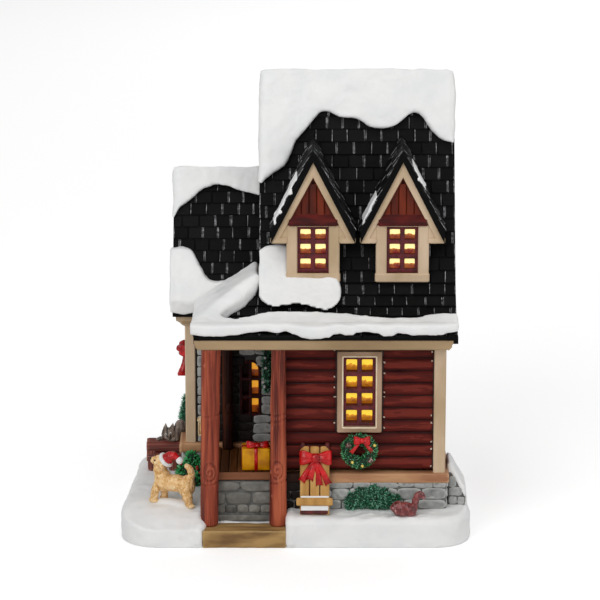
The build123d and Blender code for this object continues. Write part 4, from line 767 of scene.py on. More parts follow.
# Dormers: each is a gabled casting on the front slope. Tan boards frame the sash, red-brown planks
# fill the gable over a small hood, and tan barge boards with short returns edge the gable.
gable_paint = paint("gable_paint", ["#3f1006", "#5e1f0d", "#792f17"], grain=330, stretch=(1, 1, 0.2), bump=0.45,
                    spread=0.35, gloss=0.25)
hood_paint = paint("hood_paint", ["#3a0d0b", "#4f1411", "#621c17"], grain=330, stretch=(0.3, 1, 1), bump=0.3,
                   gloss=0.2)
dormers = (("left", 7.4), ("right", 42.1))
dormer_front, plank_pitch = -24.0, 3.02
dormer_roof_foot, dormer_ridge = 120.0, 152.2
peak, fall, barge_drop = 147.6, 31.0 / 15.7, 7.2
dice = random.Random(41)
for side, centre in dormers:
    dress(side + "_dormer", gable_paint)
    trim = blank()
    for left, right, front, low, high, ease in (
        (-10.3, -6.1, -26.0, 99.7, 122.5, 0.4), (6.1, 10.3, -26.0, 99.7, 122.5, 0.4),
        (-10.6, 10.6, -26.3, 99.6, 103.1, 0.4), (-6.3, 6.3, -25.8, 121.7, 122.9, 0.3),
    ):
        board(trim, (centre + left, front, low), (centre + right, dormer_front, high), ease)
    for way in (-1, 1):
        drop = barge_drop - 1.0
        line = [(0, peak + 0.2), (16.0, peak + 0.2 - 16.0 * fall), (16.0 - drop / fall + 0.5, peak - 16.0 * fall),
                (0, peak - drop)]
        inward = ((0, -1), (-1, 0.6), (0.4, 1), (0, 1))
        loft(trim, [[Vector((centre + way * (x + ix * inset), y, z + iz * inset))
                     for (x, z), (ix, iz) in zip(line, inward)]
                    for y, inset in ((-26.5, 0.35), (-26.15, 0.0), (dormer_front, 0.0))])
        foot = centre + way * 13.2
        board(trim, (foot - 3.3, -26.7, 115.2), (foot + 3.3, dormer_front, 117.4), 0.45)
        bracket = ((10.1, 115.6), (13.6, 115.6), (10.1, 122.4))
        loft(trim, [[Vector((centre + way * x, y, z)) for x, z in bracket] for y in (-25.9, dormer_front)])
    fit(piece(side + "_dormer_boards", trim, tan_paint, soft=False), "tan_paint")
    gable = blank()
    x = centre - 7.6
    while x < centre + 7.5:
        reach_up = [peak - barge_drop - 0.3 - abs(edge - centre) * fall for edge in (x + 0.1, x + 2.9)]
        if abs(x + 1.5 - centre) < 1.5:
            reach_up = [max(reach_up), max(reach_up)]
        ring = [(x + 0.12, 125.0), (x + 2.9, 125.0), (x + 2.9, max(125.4, reach_up[1] + 1.2)),
                (x + 0.12, max(125.4, reach_up[0] + 1.2))]
        mid = x + 1.5
        loft(gable, [[Vector((mid + (px - mid) * (1 - inset / 1.5), y, pz)) for px, pz in ring]
                     for y, inset in ((-25.0, 0.3), (-24.7, 0.0), (-23.8, 0.0))], dice.random())
        x += plank_pitch
    fit(piece(side + "_gable_planks", gable, gable_paint, soft=False), "gable_paint")
    hood = blank()
    half = (peak - barge_drop - 122.7) / fall + 0.4
    loft(hood, [[Vector((centre + x, y, z)) for x, z in ((-half, low), (half, low), (half, high), (-half, high))]
                for y, low, high in ((dormer_front, 122.5, 127.4), (-26.9, 122.3, 124.4), (-27.1, 122.5, 123.9))])
    fit(piece(side + "_dormer_hood", hood, hood_paint, soft=False), "gable_paint")
    slopes = [straight_slope((centre + way * 16.3, 0, dormer_roof_foot), (centre, 0, dormer_ridge))
              for way in (-1, 1)]
    shingled(side + "_dormer_shingles", 4.7, 5.2, dice, *(
        (slope, length, endwise, lambda s, at=slope: (-27.6, 9.0 - (main_ridge - at(s)[0].z) * front_run))
        for slope, length in slopes))

# Windows: wine-red sashes cast with their bars, in tan frames on the log walls and bare elsewhere.
# Amber sheet behind each light is painted to glow, brightest at its head and darker at its foot as painted shade;
# only one side of the arch is lit.
frame_paint = paint("frame_paint", ["#967a60", "#a68970", "#b3967d"], grain=160, stretch=(0.6, 0.6, 0.25), bump=0.3,
                    gloss=0.25)
dress("front_window_frame", frame_paint, 0.5)
dress("side_window_frames", frame_paint, 0.5)
bead_paint = paint("bead_paint", ["#dcc6a6", "#ead8bd"], grain=300, bump=0.2, gloss=0.25)
trim = blank()
for left, right, low, high in ((18.55, 19.15, 45.4, 74.6), (31.65, 32.25, 45.4, 74.6), (18.9, 31.9, 45.2, 45.9),
                               (18.9, 31.9, 74.1, 74.7)):
    board(trim, (left, -43.1, low), (right, -42.2, high), 0.15)
fit(piece("front_window_bead", trim, bead_paint, soft=False), "tan_paint")
sash_paint = paint("sash_paint", ["#451017", "#5b1a21", "#6d242b"], grain=500, bump=0.3, edge="#8a3a3e",
                   hollow_shade="#2c090d")
for node in ("front_window_sash", "side_window_sashes", "dormer_sashes"):
    dress(node, sash_paint, 0.3)
shaded_sash = paint("shaded_sash", ["#22070a", "#340d11", "#481519"], grain=500, bump=0.3, gloss=0.2)
dress("arched_window_sash", shaded_sash, 0.3)


def amber_sheet(name, shaded_foot_tone, warm, lit_head_tone, strength, gloss=0.4):
    """Sheet painted to glow as if lit from behind, from a foot darkened as painted shade to a bright head, uneven as
    brushed glass.
    """
    finish = paint(name, [shaded_foot_tone, warm, lit_head_tone], grain=230, spread=0.9, rough=(0.2, 0.45), bump=0.2, gloss=gloss)
    shader = finish.node_tree.nodes["Principled BSDF"]
    colour = shader.inputs["Base Color"].links[0].from_socket
    join(finish.node_tree, shader, Emission_Color=colour, Emission_Strength=strength)
    return finish


def pane_light(shape, put, left, right, low, high, head, sharp=3.2, back=3.22):
    """Sheet behind one light of a sash, with a tone that brightens towards its head, and painted shade darkening its
    foot.
    """
    tone = shape.verts.layers.float["shade"]
    rows, columns = 10, 8
    grids = []
    for depth in (0.0, 0.7):
        grid = []
        for row in range(rows + 1):
            line = []
            for column in range(columns + 1):
                u = left - 0.5 + (right - left + 1.0) * column / columns
                v = low - 0.5 + (high - low + 1.0) * row / rows
                vert = shape.verts.new(put(u, v, -back - depth))
                share = (row / rows - head) * sharp + 0.5 + 0.5 * noise.noise((u, v, 3.0))
                vert[tone] = min(1.0, max(0.0, share))
                line.append(vert)
            grid.append(line)
        grids.append(grid)
    for grid in grids:
        for row in range(rows):
            for column in range(columns):
                shape.faces.new((grid[row][column], grid[row][column + 1], grid[row + 1][column + 1],
                                 grid[row + 1][column]))
    near, far = grids
    border = [(0, c) for c in range(columns)] + [(r, columns) for r in range(rows)]
    border += [(rows, c) for c in range(columns, 0, -1)] + [(r, 0) for r in range(rows, 0, -1)]
    for (r, c), (r2, c2) in zip(border, border[1:] + border[:1]):
        shape.faces.new((near[r][c], near[r2][c2], far[r2][c2], far[r][c]))


def lights(shape, put, middle, foot, width, height, columns, rows, head, **rule):
    """All the lights of one square-headed sash."""
    rim, bar = 1.3, 1.8
    wide = (width - 2 * rim - (columns - 1) * bar) / columns
    tall = (height - 2 * rim - (rows - 1) * bar) / rows
    for column in range(columns):
        u = middle + (column - (columns - 1) / 2) * (wide + bar)
        for row in range(rows):
            v = foot + rim + row * (tall + bar)
            pane_light(shape, put, u - wide / 2, u + wide / 2, v, v + tall, head, **rule)


sheets = blank()
for side, at, middle in (("front", main_front, 25.4), ("right", main_right, 6.0), ("rear", main_rear, 25.75)):
    lights(sheets, wall(side, at), middle, 45.9, 12.8, 28.2, 2, 4, 0.42)
fit(piece("wall_window_sheets", sheets, amber_sheet("amber_sheet", "#8a4c0a", "#d98f16", "#ffd640", 0.75)),
    "amber_sheet", "window_panes")
sheets = blank()
for _, centre in dormers:
    lights(sheets, wall("front", dormer_front), centre, 103.2, 12.4, 18.5, 2, 3, 0.45, sharp=6.0, back=1.5)
fit(piece("dormer_window_sheets", sheets, amber_sheet("cream_sheet", "#641511", "#b8752c", "#ffeba0", 0.8)),
    "amber_sheet")
lit_sheet = amber_sheet("orange_sheet", "#3f0f06", "#c8640c", "#ffae30", 0.6)
unlit_sheet = amber_sheet("unlit_sheet", "#160504", "#34100a", "#6b2a18", 0.05, gloss=0.05)
for name, left, right, head, sharp, finish in (("arched_window_sheet", -16.9, -14.3, 0.5, 6.0, lit_sheet),
                                               ("arched_window_dark_sheet", -20.7, -18.1, 0.9, 3.2, unlit_sheet)):
    sheets = blank()
    for low, high in ((39.6, 45.6), (46.8, 53.0), (54.2, 61.0)):
        pane_light(sheets, wall("front", wing_front), left, right, low, high, head, sharp)
    fit(piece(name, sheets, finish), "amber_sheet")


# Roof snow: thick caps and drifts modelled by hand and glazed white, with rounded scalloped edges.
# The eave snow hangs in shallow waves over the front edge and leaves a black line of roof below it.
def snow_swell(p, n):
    return 0.30 * ripple(p, 7.0) + 0.12 * ripple(p, 2.4)


eave_edge = [(-40.0, 85.4), (-33.0, 84.6), (-27.7, 84.5), (-23.3, 85.1), (-16.0, 86.1), (-11.1, 86.7),
             (-6.2, 86.1), (-3.3, 86.7), (0.1, 85.4), (3.5, 84.0), (6.9, 83.5), (10.0, 83.6), (13.2, 84.2),
             (15.6, 85.7), (17.5, 85.9), (20.0, 85.0), (22.4, 84.9), (23.9, 85.9), (27.8, 86.4), (31.7, 85.9),
             (34.6, 84.6), (37.5, 84.9), (39.9, 86.0), (42.4, 85.6), (45.3, 85.0), (56.5, 85.1), (58.9, 86.1),
             (66.0, 86.5)]
wing_edge = [(-50.0, 83.7), (-44.0, 82.6), (-38.0, 83.5), (-30.0, 82.8), (0.0, 83.0)]


def wavy_edge(obj, edge, level, front):
    """Draw the foot of an eave's snow up or down to the heights that an edge gives along it."""
    foot = min(v.co.z for v in obj.data.vertices) / MM
    for vert in obj.data.vertices:
        p = vert.co / MM
        if p.y > front or p.z > level:
            continue
        for (x0, z0), (x1, z1) in zip(edge, edge[1:]):
            if x0 <= p.x < x1:
                target = z0 + (z1 - z0) * smooth((p.x - x0) / (x1 - x0))
        fall = smooth((level - p.z) / (level - foot))
        near = min(1.0, (front - p.y) / 2.5)
        vert.co.z += (target - foot) * fall * near * MM


def drift_swell(p, n):
    inward = 0.3 if n.z < 0.15 and n.y < -0.3 else 0.0
    return snow_swell(p, n) + 0.5 * max(0.0, n.z) - inward


def wing_drift_swell(p, n):
    return snow_swell(p, n) + 1.1 * max(0.0, -n.x) ** 2


def porch_drift_swell(p, n):
    left_end = 1.0 if n.x < -0.6 and p.x < -36 else 0.0
    return snow_swell(p, n) + 0.2 - 1.3 * left_end


def streak_swell(p, n):
    rim = max(0.0, 1 - (0.87 * abs(n.x) + 0.5 * n.z) ** 2)
    return snow_swell(p, n) + 0.5 * max(0.0, n.z) + rim * (1.9 * ripple(p, 4.5) - 0.4)


def cap_swell(left, right):
    """Swell of a ridge's snow, rounded over at the ends of the ridge."""
    def swell(p, n):
        end = min(1.0, max(0.0, 1 - min(p.x - left, right - p.x) / 4.5))
        return snow_swell(p, n) + 0.5 * ripple((p.x, 0, p.z), 16.0) + 0.4 - 1.9 * end * end * max(0.0, n.z)
    return swell


for name, node, voxel, rounds, swell in (
    ("ridge_cap_snow", "main_ridge_snow", 0.55, 36, cap_swell(-14.4, 63.9)),
    ("dormer_drift_snow", "dormer_foot_snow", 0.45, 12, drift_swell),
    ("wing_cap_snow", "wing_ridge_snow", 0.5, 26, cap_swell(-49.0, 10.0)),
    ("dormer_streak_snow", "dormer_cap_snow", 0.35, 8, streak_swell),
):
    recast(name, node, "snow_glaze", snow_glaze, voxel, rounds, swell)
for name, node, rounds, swell, edge, level, front in (
    ("front_eave_snow", "eave_snow", 36, porch_drift_swell, eave_edge, 93.0, -46.5),
    ("wing_drift_snow", "wing_eave_snow", 18, wing_drift_swell, wing_edge, 90.0, -9.0),
):
    wavy_edge(recast(name, node, "snow_glaze", snow_glaze, 0.5, rounds, swell), edge, level, front)
recast("buttress_cap_snow", "buttress_snow", "snow_glaze", snow_glaze, 0.45, 6, lambda p, n: snow_swell(p, n) + 0.25)


# Porch posts: peeled trunks with knots and ring marks modelled in the clay, brushed red-brown.
# Two stand on the step under the porch eave, and a thinner one stands against the wing's wall.
def trunk(shape, start, end, foot, head, knots=(), marks=(), seed=0.0, around=84):
    """Peeled trunk between two points, with long grooves, ringed knots and marks cut across it."""
    start, end = Vector(start), Vector(end)
    way = (end - start).normalized()
    side = Vector((1, 0, 0)) if abs(way.z) > 0.5 else Vector((0, 1, 0))
    up = way.cross(side)
    length = (end - start).length
    rows = int(length / 0.5)
    rings = []
    for row in range(rows + 1):
        s = length * row / rows
        radius = foot + (head - foot) * row / rows
        radius *= (0.86, 0.96, 1.0)[min(row, rows - row, 2)]
        ring = []
        for turn in turns(around):
            c, q = math.cos(turn), math.sin(turn)
            grain = 0.22 * noise.noise((c * 3.1 + seed, q * 3.1, s * 0.05))
            grain += 0.20 * noise.noise((c * 7.0 + seed, q * 7.0, s * 0.09))
            grain += 0.14 * noise.noise((c * 15.0 + seed, q * 15.0, s * 0.16))
            for mark in marks:
                if q < 0.35:
                    grain -= 0.28 * math.exp(-((s - mark - 0.5 * c) / 0.4) ** 2)
            for place, facing, size in knots:
                arc = (turn - facing + math.pi) % (2 * math.pi) - math.pi
                gap = math.hypot(arc * radius, (s - place) * 0.76) / size
                if gap < 1.6:
                    bend = math.atan2(s - place, arc * radius) + 0.6 * noise.noise((s, arc, seed))
                    swirl = math.cos(gap * 9.0 + bend)
                    grain = grain * min(1.0, gap) - 0.42 * math.exp(-((gap - 1.0) / 0.16) ** 2)
                    grain += max(0.0, 1.0 - gap * gap) * (0.45 + 0.3 * swirl)
            ring.append(start + way * s + (side * c + up * q) * (radius + grain))
        rings.append(ring)
    loft(shape, rings)


front_turn = -math.pi / 2
post_y, post_foot, post_head = -46.25, 7, 79.6
post_paint = paint("post_paint", ["#581d11", "#7d3321", "#97432d", "#b05a3c"], grain=420, stretch=(1, 1, 0.06),
                   bump=0.7, hollow_shade="#3c120a", edge="#ad5f45", gloss=0.3)
shaded_post = paint("shaded_post", ["#150603", "#2a0e06", "#47200f"], grain=330, stretch=(1, 1, 0.1), bump=0.55,
                    hollow_shade="#0c0302", gloss=0.15)
for name, start, end, foot, head, knot, marks, seed, finish in (
    ("left", (-33.1, post_y, post_foot), (-31.9, post_y, post_head), 3.45, 3.65, (22.5, front_turn, 2.7),
     [17.4, 45.2], 3.0, post_paint),
    ("right", (-6.2, post_y, post_foot), (-6.0, post_y, post_head), 3.4, 2.6, (23.2, front_turn - 0.1, 2.6),
     [18.0, 43.0, 45.5], 8.0, post_paint),
    ("rear", (-26.5, -10.1, 26.3), (-26.5, -10.1, 78), 2.1, 2.1, (17.5, front_turn + 0.5, 1.9), [], 14.0,
     shaded_post),
):
    post = blank()
    trunk(post, start, end, foot, head, [knot], marks, seed)
    fit(piece(name + "_trunk", post, finish), "post_paint", name + "_porch_post")


# Porch furnishings: an evergreen swag with small white lights beside the arch, a cream lantern on
# the wing's sill, and a yellow parcel tied with red ribbon on the planks.
def spike(shape, foot, way, length, width, dice):
    """One needle or narrow leaf, widest below its middle."""
    way = way.normalized()
    side = Matrix.Rotation(dice.uniform(0, 2 * math.pi), 3, way) @ way.orthogonal().normalized()
    flat = way.cross(side)
    rings = [[foot + way * length * share + (side * c + flat * s) * (width * wide / 2)
              for c, s in ((1, 0), (0, 0.4), (-1, 0), (0, -0.4))]
             for share, wide in ((0.0, 0.5), (0.4, 1.0), (1.0, 0.12))]
    loft(shape, rings, dice.random())


def sprout(core, count, length, width, lean, dice, keep):
    """Needles over the kept part of a core's skin, straying at random from its normals."""
    shape = blank()
    sides = list(core.data.polygons)
    for side in dice.choices(sides, weights=[s.area for s in sides], k=count):
        foot, normal = Vector(side.center) / MM, Vector(side.normal)
        if not keep(foot, normal):
            continue
        stray = Vector([dice.uniform(-1, 1) for _ in range(3)])
        spike(shape, foot - normal * 0.2, normal + stray * lean, length * dice.uniform(0.7, 1.3),
              width * dice.uniform(0.8, 1.2), dice)
    return shape


def bead(shape, centre, radius, finish=0):
    """Small round bead."""
    centre = Vector(centre)
    rings = []
    for step in range(7):
        rise = math.radians(-81 + 27 * step)
        rings.append([centre + Vector((math.cos(rise) * math.cos(turn), math.cos(rise) * math.sin(turn),
                                       math.sin(rise))) * radius for turn in turns(12)])
    loft(shape, rings, finish=finish)


def ribbon_bow(shape, put, u, v, width, height, tails, deep, tail_width):
    """Tied bow on a surface: two creased loops, a pleated knot and tails that end in a notch."""
    for way in (-1, 1):
        rings = []
        for share, tall, thick in ((0.04, 0.42, 0.7), (0.2, 0.55, 0.9), (0.45, 0.8, 1.0), (0.72, 1.0, 1.0),
                                   (0.9, 1.0, 0.8), (0.98, 0.9, 0.5), (1.0, 0.75, 0.25)):
            ring = []
            for turn in turns(28):
                across = math.sin(turn)
                crease = 0.2 * math.cos(across * 7.5 + way) * (1.0 - 0.6 * share) if math.cos(turn) > 0 else 0.0
                lift = (0.5 + 0.5 * math.cos(turn)) * (1.0 + crease) * thick * deep
                ring.append(put(u + way * share * width / 2, v + across * tall * height / 2, lift))
            rings.append(ring)
        loft(shape, rings)
    rings = []
    for share, tall in ((-1.0, 0.7), (-0.8, 0.95), (0.8, 0.95), (1.0, 0.7)):
        rings.append([put(u + share * width * 0.11, v + math.sin(turn) * tall * height * 0.32,
                          (0.6 + 0.55 * math.cos(turn)) * deep * (0.75 + 0.4 * tall)) for turn in turns(28)])
    loft(shape, rings)
    for end_u, end_v in tails:
        run = Vector((end_u - u, end_v - v))
        cross = Vector((-run.y, run.x)).normalized()
        rings = []
        for share in (0.0, 0.2, 0.4, 0.6, 0.8, 1.0):
            wide = tail_width * (0.4 + 0.6 * share)
            ring = []
            for s in (-1.0, -0.5, 0.0, 0.5, 1.0, 0.99, 0.5, 0.0, -0.5, -0.99):
                front = len(ring) < 5
                notch = 0.35 * tail_width * (abs(s) - 0.6) / run.length if share == 1.0 else 0.0
                spot = run * (share + notch) + cross * (s * wide / 2)
                fold = 0.45 + 0.35 * (1 - abs(s)) + 0.25 * math.sin(share * 5 + end_u)
                ring.append(put(u + spot.x, v + spot.y, deep * 0.42 * fold if front else -0.05))
            rings.append(ring)
        loft(shape, rings)


foliage_dark = paint("foliage_dark", ["#071a10", "#0d2a19", "#123a22"], grain=500, bump=0.4)
foliage_paint = paint("foliage_paint", ["#12402a", "#1c6242", "#3a8a63", "#86bfa2"], grain=600, spread=0.7, bump=0.3)
lamp_white = paint("lamp_white", ["#e6e4de", "#f2f1ee"], grain=500, rough=(0.25, 0.4))
ribbon_paint = paint("ribbon_paint", ["#93060b", "#bb0d12", "#d3181b"], grain=260, rough=(0.16, 0.34), bump=0.08,
                     gloss=0.45)
dice = random.Random(51)
core = recast("swag_core", "porch_swag", "foliage_paint", foliage_dark, 0.35, 3)
greens = sprout(core, 420, 1.5, 0.55, 0.8, dice, lambda p, n: n.y < 0.3)
for x, y, z in ((-11.6, -8.4, 63.6), (-11.3, -8.9, 59.6), (-12.3, -8.6, 53.6), (-11.8, -8.3, 51.6)):
    bead(greens, (x, y, z), 0.55, finish=1)
fit(piece("swag_needles", greens, foliage_paint, lamp_white), "foliage_paint")

lantern_paint = paint("lantern_paint", ["#b08a5a", "#d5b98c", "#e8d5b0"], grain=500, bump=0.4, hollow_shade="#7a5730")
case = blank()
lantern_x = -36.7
for low, high in ((31.2, 32.0), (36.8, 37.6)):
    board(case, (lantern_x - 1.7, -9.4, low), (lantern_x + 1.7, -6.0, high), 0.2)
for dx in (-1.5, 1.5):
    for y in (-9.2, -6.5):
        board(case, (lantern_x + dx - 0.25, y - 0.2, 31.9), (lantern_x + dx + 0.25, y + 0.4, 36.9), 0.1)
rings = []
for z, half in ((37.5, 2.1), (37.9, 2.1), (38.9, 0.7), (39.6, 0.5), (39.8, 0.25)):
    rings.append([Vector((lantern_x + half * dx, -7.7 + min(half, 1.7) * dy, z))
                  for dx, dy in ((-1, -1), (1, -1), (1, 1), (-1, 1))])
loft(case, rings)
# The lantern's pane is painted with a faint glow, though no lamp is in it.
board(case, (lantern_x - 1.2, -8.9, 31.9), (lantern_x + 1.2, -6.4, 36.9), 0.3, finish=1)
fit(piece("lantern_case", case, lantern_paint, amber_sheet("lantern_glow", "#7a4a1a", "#c08a4a", "#e2bd82", 0.05),
          soft=False), "lantern_paint", "wall_lantern")

gift_paint = paint("gift_paint", ["#c27a00", "#dc9600", "#ebaa00"], grain=200, rough=(0.3, 0.5), bump=0.15,
                   gloss=0.3)
parcel = blank()
turned = Matrix.Translation((-15.0, -32.6, 26.3)) @ Matrix.Rotation(math.radians(2), 4, "Z")
board(parcel, (-5.5, -5.4, 0), (5.5, 3.4, 8.9), 0.45, turned)
fit(piece("gift_parcel", parcel, gift_paint, soft=False), "gift_paint", "gift_box")
parcel = blank()
board(parcel, (-0.75, -5.55, 0.05), (0.75, 3.55, 9.05), 0.2, turned)
board(parcel, (-5.65, -1.75, 0.05), (5.65, -0.25, 9.05), 0.2, turned)
ribbon_bow(parcel, lambda u, v, n: turned @ Vector((u, -n * 0.9 - 2.6, 8.9 + v)), 0.6, 1.3, 8.8, 3.0,
           [(-2.8, 0.2), (2.9, 0.1)], deep=2.2, tail_width=1.3)
fit(piece("gift_ribbon", parcel, ribbon_paint), "ribbon_paint")

# Sled: a slatted deck on two dark red runners, stood on end in the snow and leaned on the sill.
# The slats are painted as bare wood, a bar crosses them at the foot, and a red bow hangs over the deck.
sled_paint = paint("sled_paint", ["#9c6f37", "#b98a4b", "#cfa768"], grain=330, stretch=(1, 1, 0.15), bump=0.4,
                   spread=0.2, gloss=0.25)
runner_paint = paint("runner_paint", ["#3c1110", "#571c1a", "#6d2a26"], grain=400, bump=0.4)
sled_place = Matrix.Translation((8.2, -49.6, 12)) @ Matrix.Rotation(math.radians(-12.8), 4, "X")
deck = blank()
dice = random.Random(61)
for index in range(3):
    left = -5.85 + index * 3.95
    right_side, right_corner = (26.3, 26.9) if index < 2 else (25.4, 25.9)
    left_side, left_corner = (26.3, 26.9) if index else (25.4, 25.9)
    outline = [(0.0, 0.3), (3.55, 0.3), (3.55, right_side), (3.15, right_corner), (1.9, 27.0), (0.4, left_corner),
               (0.0, left_side)]
    rings = []
    for y, inset in ((0.0, 0.3), (0.3, 0.0), (0.8, 0.0), (1.1, 0.3)):
        ring = []
        for x, z in outline:
            x = left + 1.85 + (x - 1.85) * (1 - inset / 1.85)
            ring.append(sled_place @ Vector((x, y - (0.25 if index == 1 else 0.0), z - inset * (z > 20))))
        rings.append(ring)
    loft(deck, rings, dice.random())
# The dark back board behind the slats is painted shade, showing in the gaps between them.
# In turn: the bar, the two runners, the two ties, the dark back, the foot, and the snow under and over the bar.
for low, high, ease, finish in (
    ((-7.3, -1.1, 3.8), (6.9, 0.2, 6.9), 0.4, 0),
    ((-5.6, 1.0, 0.9), (-4.0, 2.7, 28.3), 0.35, 1), ((4.0, 1.0, 0.9), (5.6, 2.7, 28.3), 0.35, 1),
    ((-5.5, 1.0, 4.0), (5.5, 2.5, 5.7), 0.3, 1), ((-5.5, 1.0, 20.0), (5.5, 2.5, 21.7), 0.3, 1),
    ((-5.5, 0.9, 1.5), (5.3, 1.3, 25.4), 0.1, 1), ((-5.8, -0.7, 0.4), (5.0, 1.6, 1.9), 0.4, 1),
    ((-5.5, -0.5, 1.8), (5.2, 0.2, 3.9), 0.3, 2), ((-5.7, -0.7, 6.8), (5.4, 0.2, 7.6), 0.25, 2),
):
    board(deck, low, high, ease, sled_place, finish=finish)
fit(piece("sled_deck", deck, sled_paint, runner_paint, snow_glaze, soft=False), "sled_paint", "sled")
knot = blank()
ribbon_bow(knot, lambda u, v, n: sled_place @ Vector((u, -n, v)), 0.2, 22.6, 12.6, 5.8,
           [(-5.2, 13.4), (-2.1, 13.8), (1.7, 11.9), (5.3, 12.2)], deep=2.1, tail_width=2.8)
fit(piece("sled_bow", knot, ribbon_paint), "ribbon_paint")

# Front greenery: a wreath of fir with a bow, cones and gilt berries under the front window, and a
# low shrub along the stones. Both are cast lumps combed into needles and brushed over black-green.
cone_paint = paint("cone_paint", ["#3a211a", "#6b4a40", "#c4b0a8"], grain=1500, bump=0.6)
wreath_paint = paint("wreath_paint", ["#0c4220", "#1a6a34", "#33904f", "#7cc494"], grain=600, spread=0.7, bump=0.3)
gilt_paint = paint("gilt_paint", ["#c79a2a", "#e8cf6a"], grain=600, rough=(0.2, 0.4))
wreath_middle = Vector((25.4, -43.5, 36.4))
dice = random.Random(71)
ringed = blank()
rings = []
for step in range(49):
    turn = 2 * math.pi * step / 48
    spoke = Vector((math.cos(turn), 0, math.sin(turn)))
    ring = []
    for roll in turns(14):
        thick = 1.9 + 0.3 * noise.noise((math.cos(turn) * 3, math.sin(turn) * 3, roll))
        ring.append(wreath_middle + spoke * (4.8 + thick * math.cos(roll)) + Vector((0, thick * math.sin(roll), 0)))
    rings.append(ring)
loft(ringed, rings, ends=False)
core = fit(piece("wreath_core", ringed, foliage_dark), "foliage_paint", "wreath")
greens = sprout(core, 1300, 1.15, 0.45, 0.9, dice, lambda p, n: n.y < 0.5)
for x, z in ((21.1, 39.4), (29.6, 33.3)):
    for k in range(14):
        turn = k * 2.4
        out = 0.26 * math.sqrt(k)
        bead(greens, (x + out * math.cos(turn), -46.3 + 0.35 * out, z + 1.25 * out * math.sin(turn)), 0.34, finish=1)
for x, z in ((31.3, 39.4), (22.7, 32.5), (26.6, 31.0)):
    bead(greens, (x, -46.1, z), 0.6, finish=2)
fit(piece("wreath_needles", greens, wreath_paint, cone_paint, gilt_paint), "foliage_paint")
knot = blank()
ribbon_bow(knot, wall("front", -45.4), 26.4, 41.4, 6.4, 3.6, [(22.2, 36.3), (30.5, 36.6)],
           deep=1.5, tail_width=1.7)
fit(piece("wreath_bow", knot, ribbon_paint), "ribbon_paint")

core = recast("shrub_core", "front_shrub", "foliage_paint", foliage_dark, 0.4, 3,
              lambda p, n: 0.6 * ripple(p, 2.6) - 0.4)
greens = sprout(core, 2800, 1.25, 0.45, 0.9, dice, lambda p, n: n.y < 0.5 and p.z > 12.3)
fit(piece("shrub_needles", greens, foliage_paint), "foliage_paint")

# Squirrel: a small crouched figure in the snow before the shrub, with its tail raised and hooked.
# Modelled in lumps, scratched with a few strokes of fur and painted reddish brown.
squirrel_paint = paint("squirrel_paint", ["#561f20", "#74302f", "#8a423f"], grain=500, rough=(0.22, 0.4), bump=0.25,
                       hollow_shade="#3a1213", edge="#b98584", gloss=0.5)
figure = blank()
for x, z, axis, long, broad in (
    (42.6, 14.6, (1, 0, 0.05), 4.4, 2.9), (45.4, 13.9, (0.3, 0, 1), 2.7, 2.4), (40.4, 15.6, (1, 0, 0.5), 2.6, 2.2),
    (39.2, 14.9, (1, 0, -0.4), 1.9, 1.6), (41.0, 12.6, (1, 0, 0), 1.9, 0.9),
    (45.6, 12.5, (1, 0, 0), 2.0, 1.0), (46.7, 15.2, (0.15, 0, 1), 2.6, 1.5), (47.3, 18.0, (0.1, 0, 1), 2.4, 1.4),
    (48.0, 20.0, (0.5, 0, 1), 1.9, 1.4), (49.2, 20.8, (1, 0, -0.2), 1.5, 1.2), (50.2, 19.8, (0.5, 0, -1), 1.3, 1.0),
    (39.3, 16.7, (0, 0, 1), 0.8, 0.45),
):
    egg(figure, (x, -49.6, z), axis, long, broad)


def squirrel_swell(p, n):
    streak = math.exp(-(math.sin(p.x * 1.3 + p.z * 0.35) / 0.35) ** 2) if p.x < 46 and p.z > 12.6 else 0.0
    return 0.16 * streak + 0.1 * ripple(p, 1.6)


fit(cast("squirrel_figure", figure, squirrel_paint, 0.3, 3, squirrel_swell), "squirrel_paint", "squirrel")

# Dog: a shaggy golden dog that stands in the left yard on a hump of snow and looks up to the left.
# It wears a red stocking hat with a white brim and a white bobble, each modelled and painted apart.
dog_paint = paint("dog_paint", ["#cb9a58", "#e4b67a", "#f3d09c"], grain=600, rough=(0.5, 0.75), bump=0.4,
                  hollow_shade="#94602e", edge="#fbe8c4", gloss=0.3)
dog_turn = Matrix.Translation((-47.25, -36.0, 12.0)) @ Matrix.Rotation(math.radians(-24), 4, "Z")
figure = blank()
for place, axis, long, broad in (
    ((0.5, 0, 8.7), (1, 0, 0.05), 7.2, 3.4), ((-4.6, 0, 9.6), (-0.2, 0, 1), 5.0, 3.4),
    ((5.6, 0, 8.0), (0.15, 0, 1), 4.6, 3.4), ((-5.8, 0, 13.6), (-0.1, 0, 1), 4.2, 2.7),
    ((-5.6, 0, 16.8), (1, 0, 0.1), 3.2, 2.7), ((-8.0, 0, 17.0), (1, 0, 0.1), 2.0, 1.6),
    ((-7.2, -1.9, 4.9), (0.22, 0, 1), 4.9, 1.7), ((-8.0, -1.9, 1.1), (1, 0, 0), 2.0, 1.2),
    ((-4.9, 1.9, 4.9), (0.1, 0, 1), 4.9, 1.7), ((-5.3, 1.9, 1.1), (1, 0, 0), 2.0, 1.2),
    ((7.0, -2.0, 5.0), (-0.15, 0, 1), 4.9, 1.9), ((7.9, -2.0, 1.1), (1, 0, 0), 2.1, 1.2),
    ((4.4, 2.0, 5.0), (0, 0, 1), 4.9, 1.8), ((4.2, 2.0, 1.1), (1, 0, 0), 2.0, 1.2),
    ((7.6, 0, 11.9), (0.2, 0, 1), 3.4, 1.5), ((7.4, 0, 14.9), (-0.4, 0, 1), 2.3, 1.4),
    ((6.2, 0, 16.3), (-1, 0, 0.4), 1.5, 1.1), ((-4.0, -2.3, 15.4), (0.25, -0.2, 1), 1.9, 1.0),
    ((-4.0, 2.3, 15.4), (0.25, 0.2, 1), 1.9, 1.0),
):
    egg(figure, dog_turn @ Vector(place), dog_turn.to_3x3() @ Vector(axis), long, broad)


def fur_swell(p, n):
    return 0.22 * ripple((p.x, p.y, p.z * 0.7), 0.6) + 0.12 * ripple(p, 2.4)


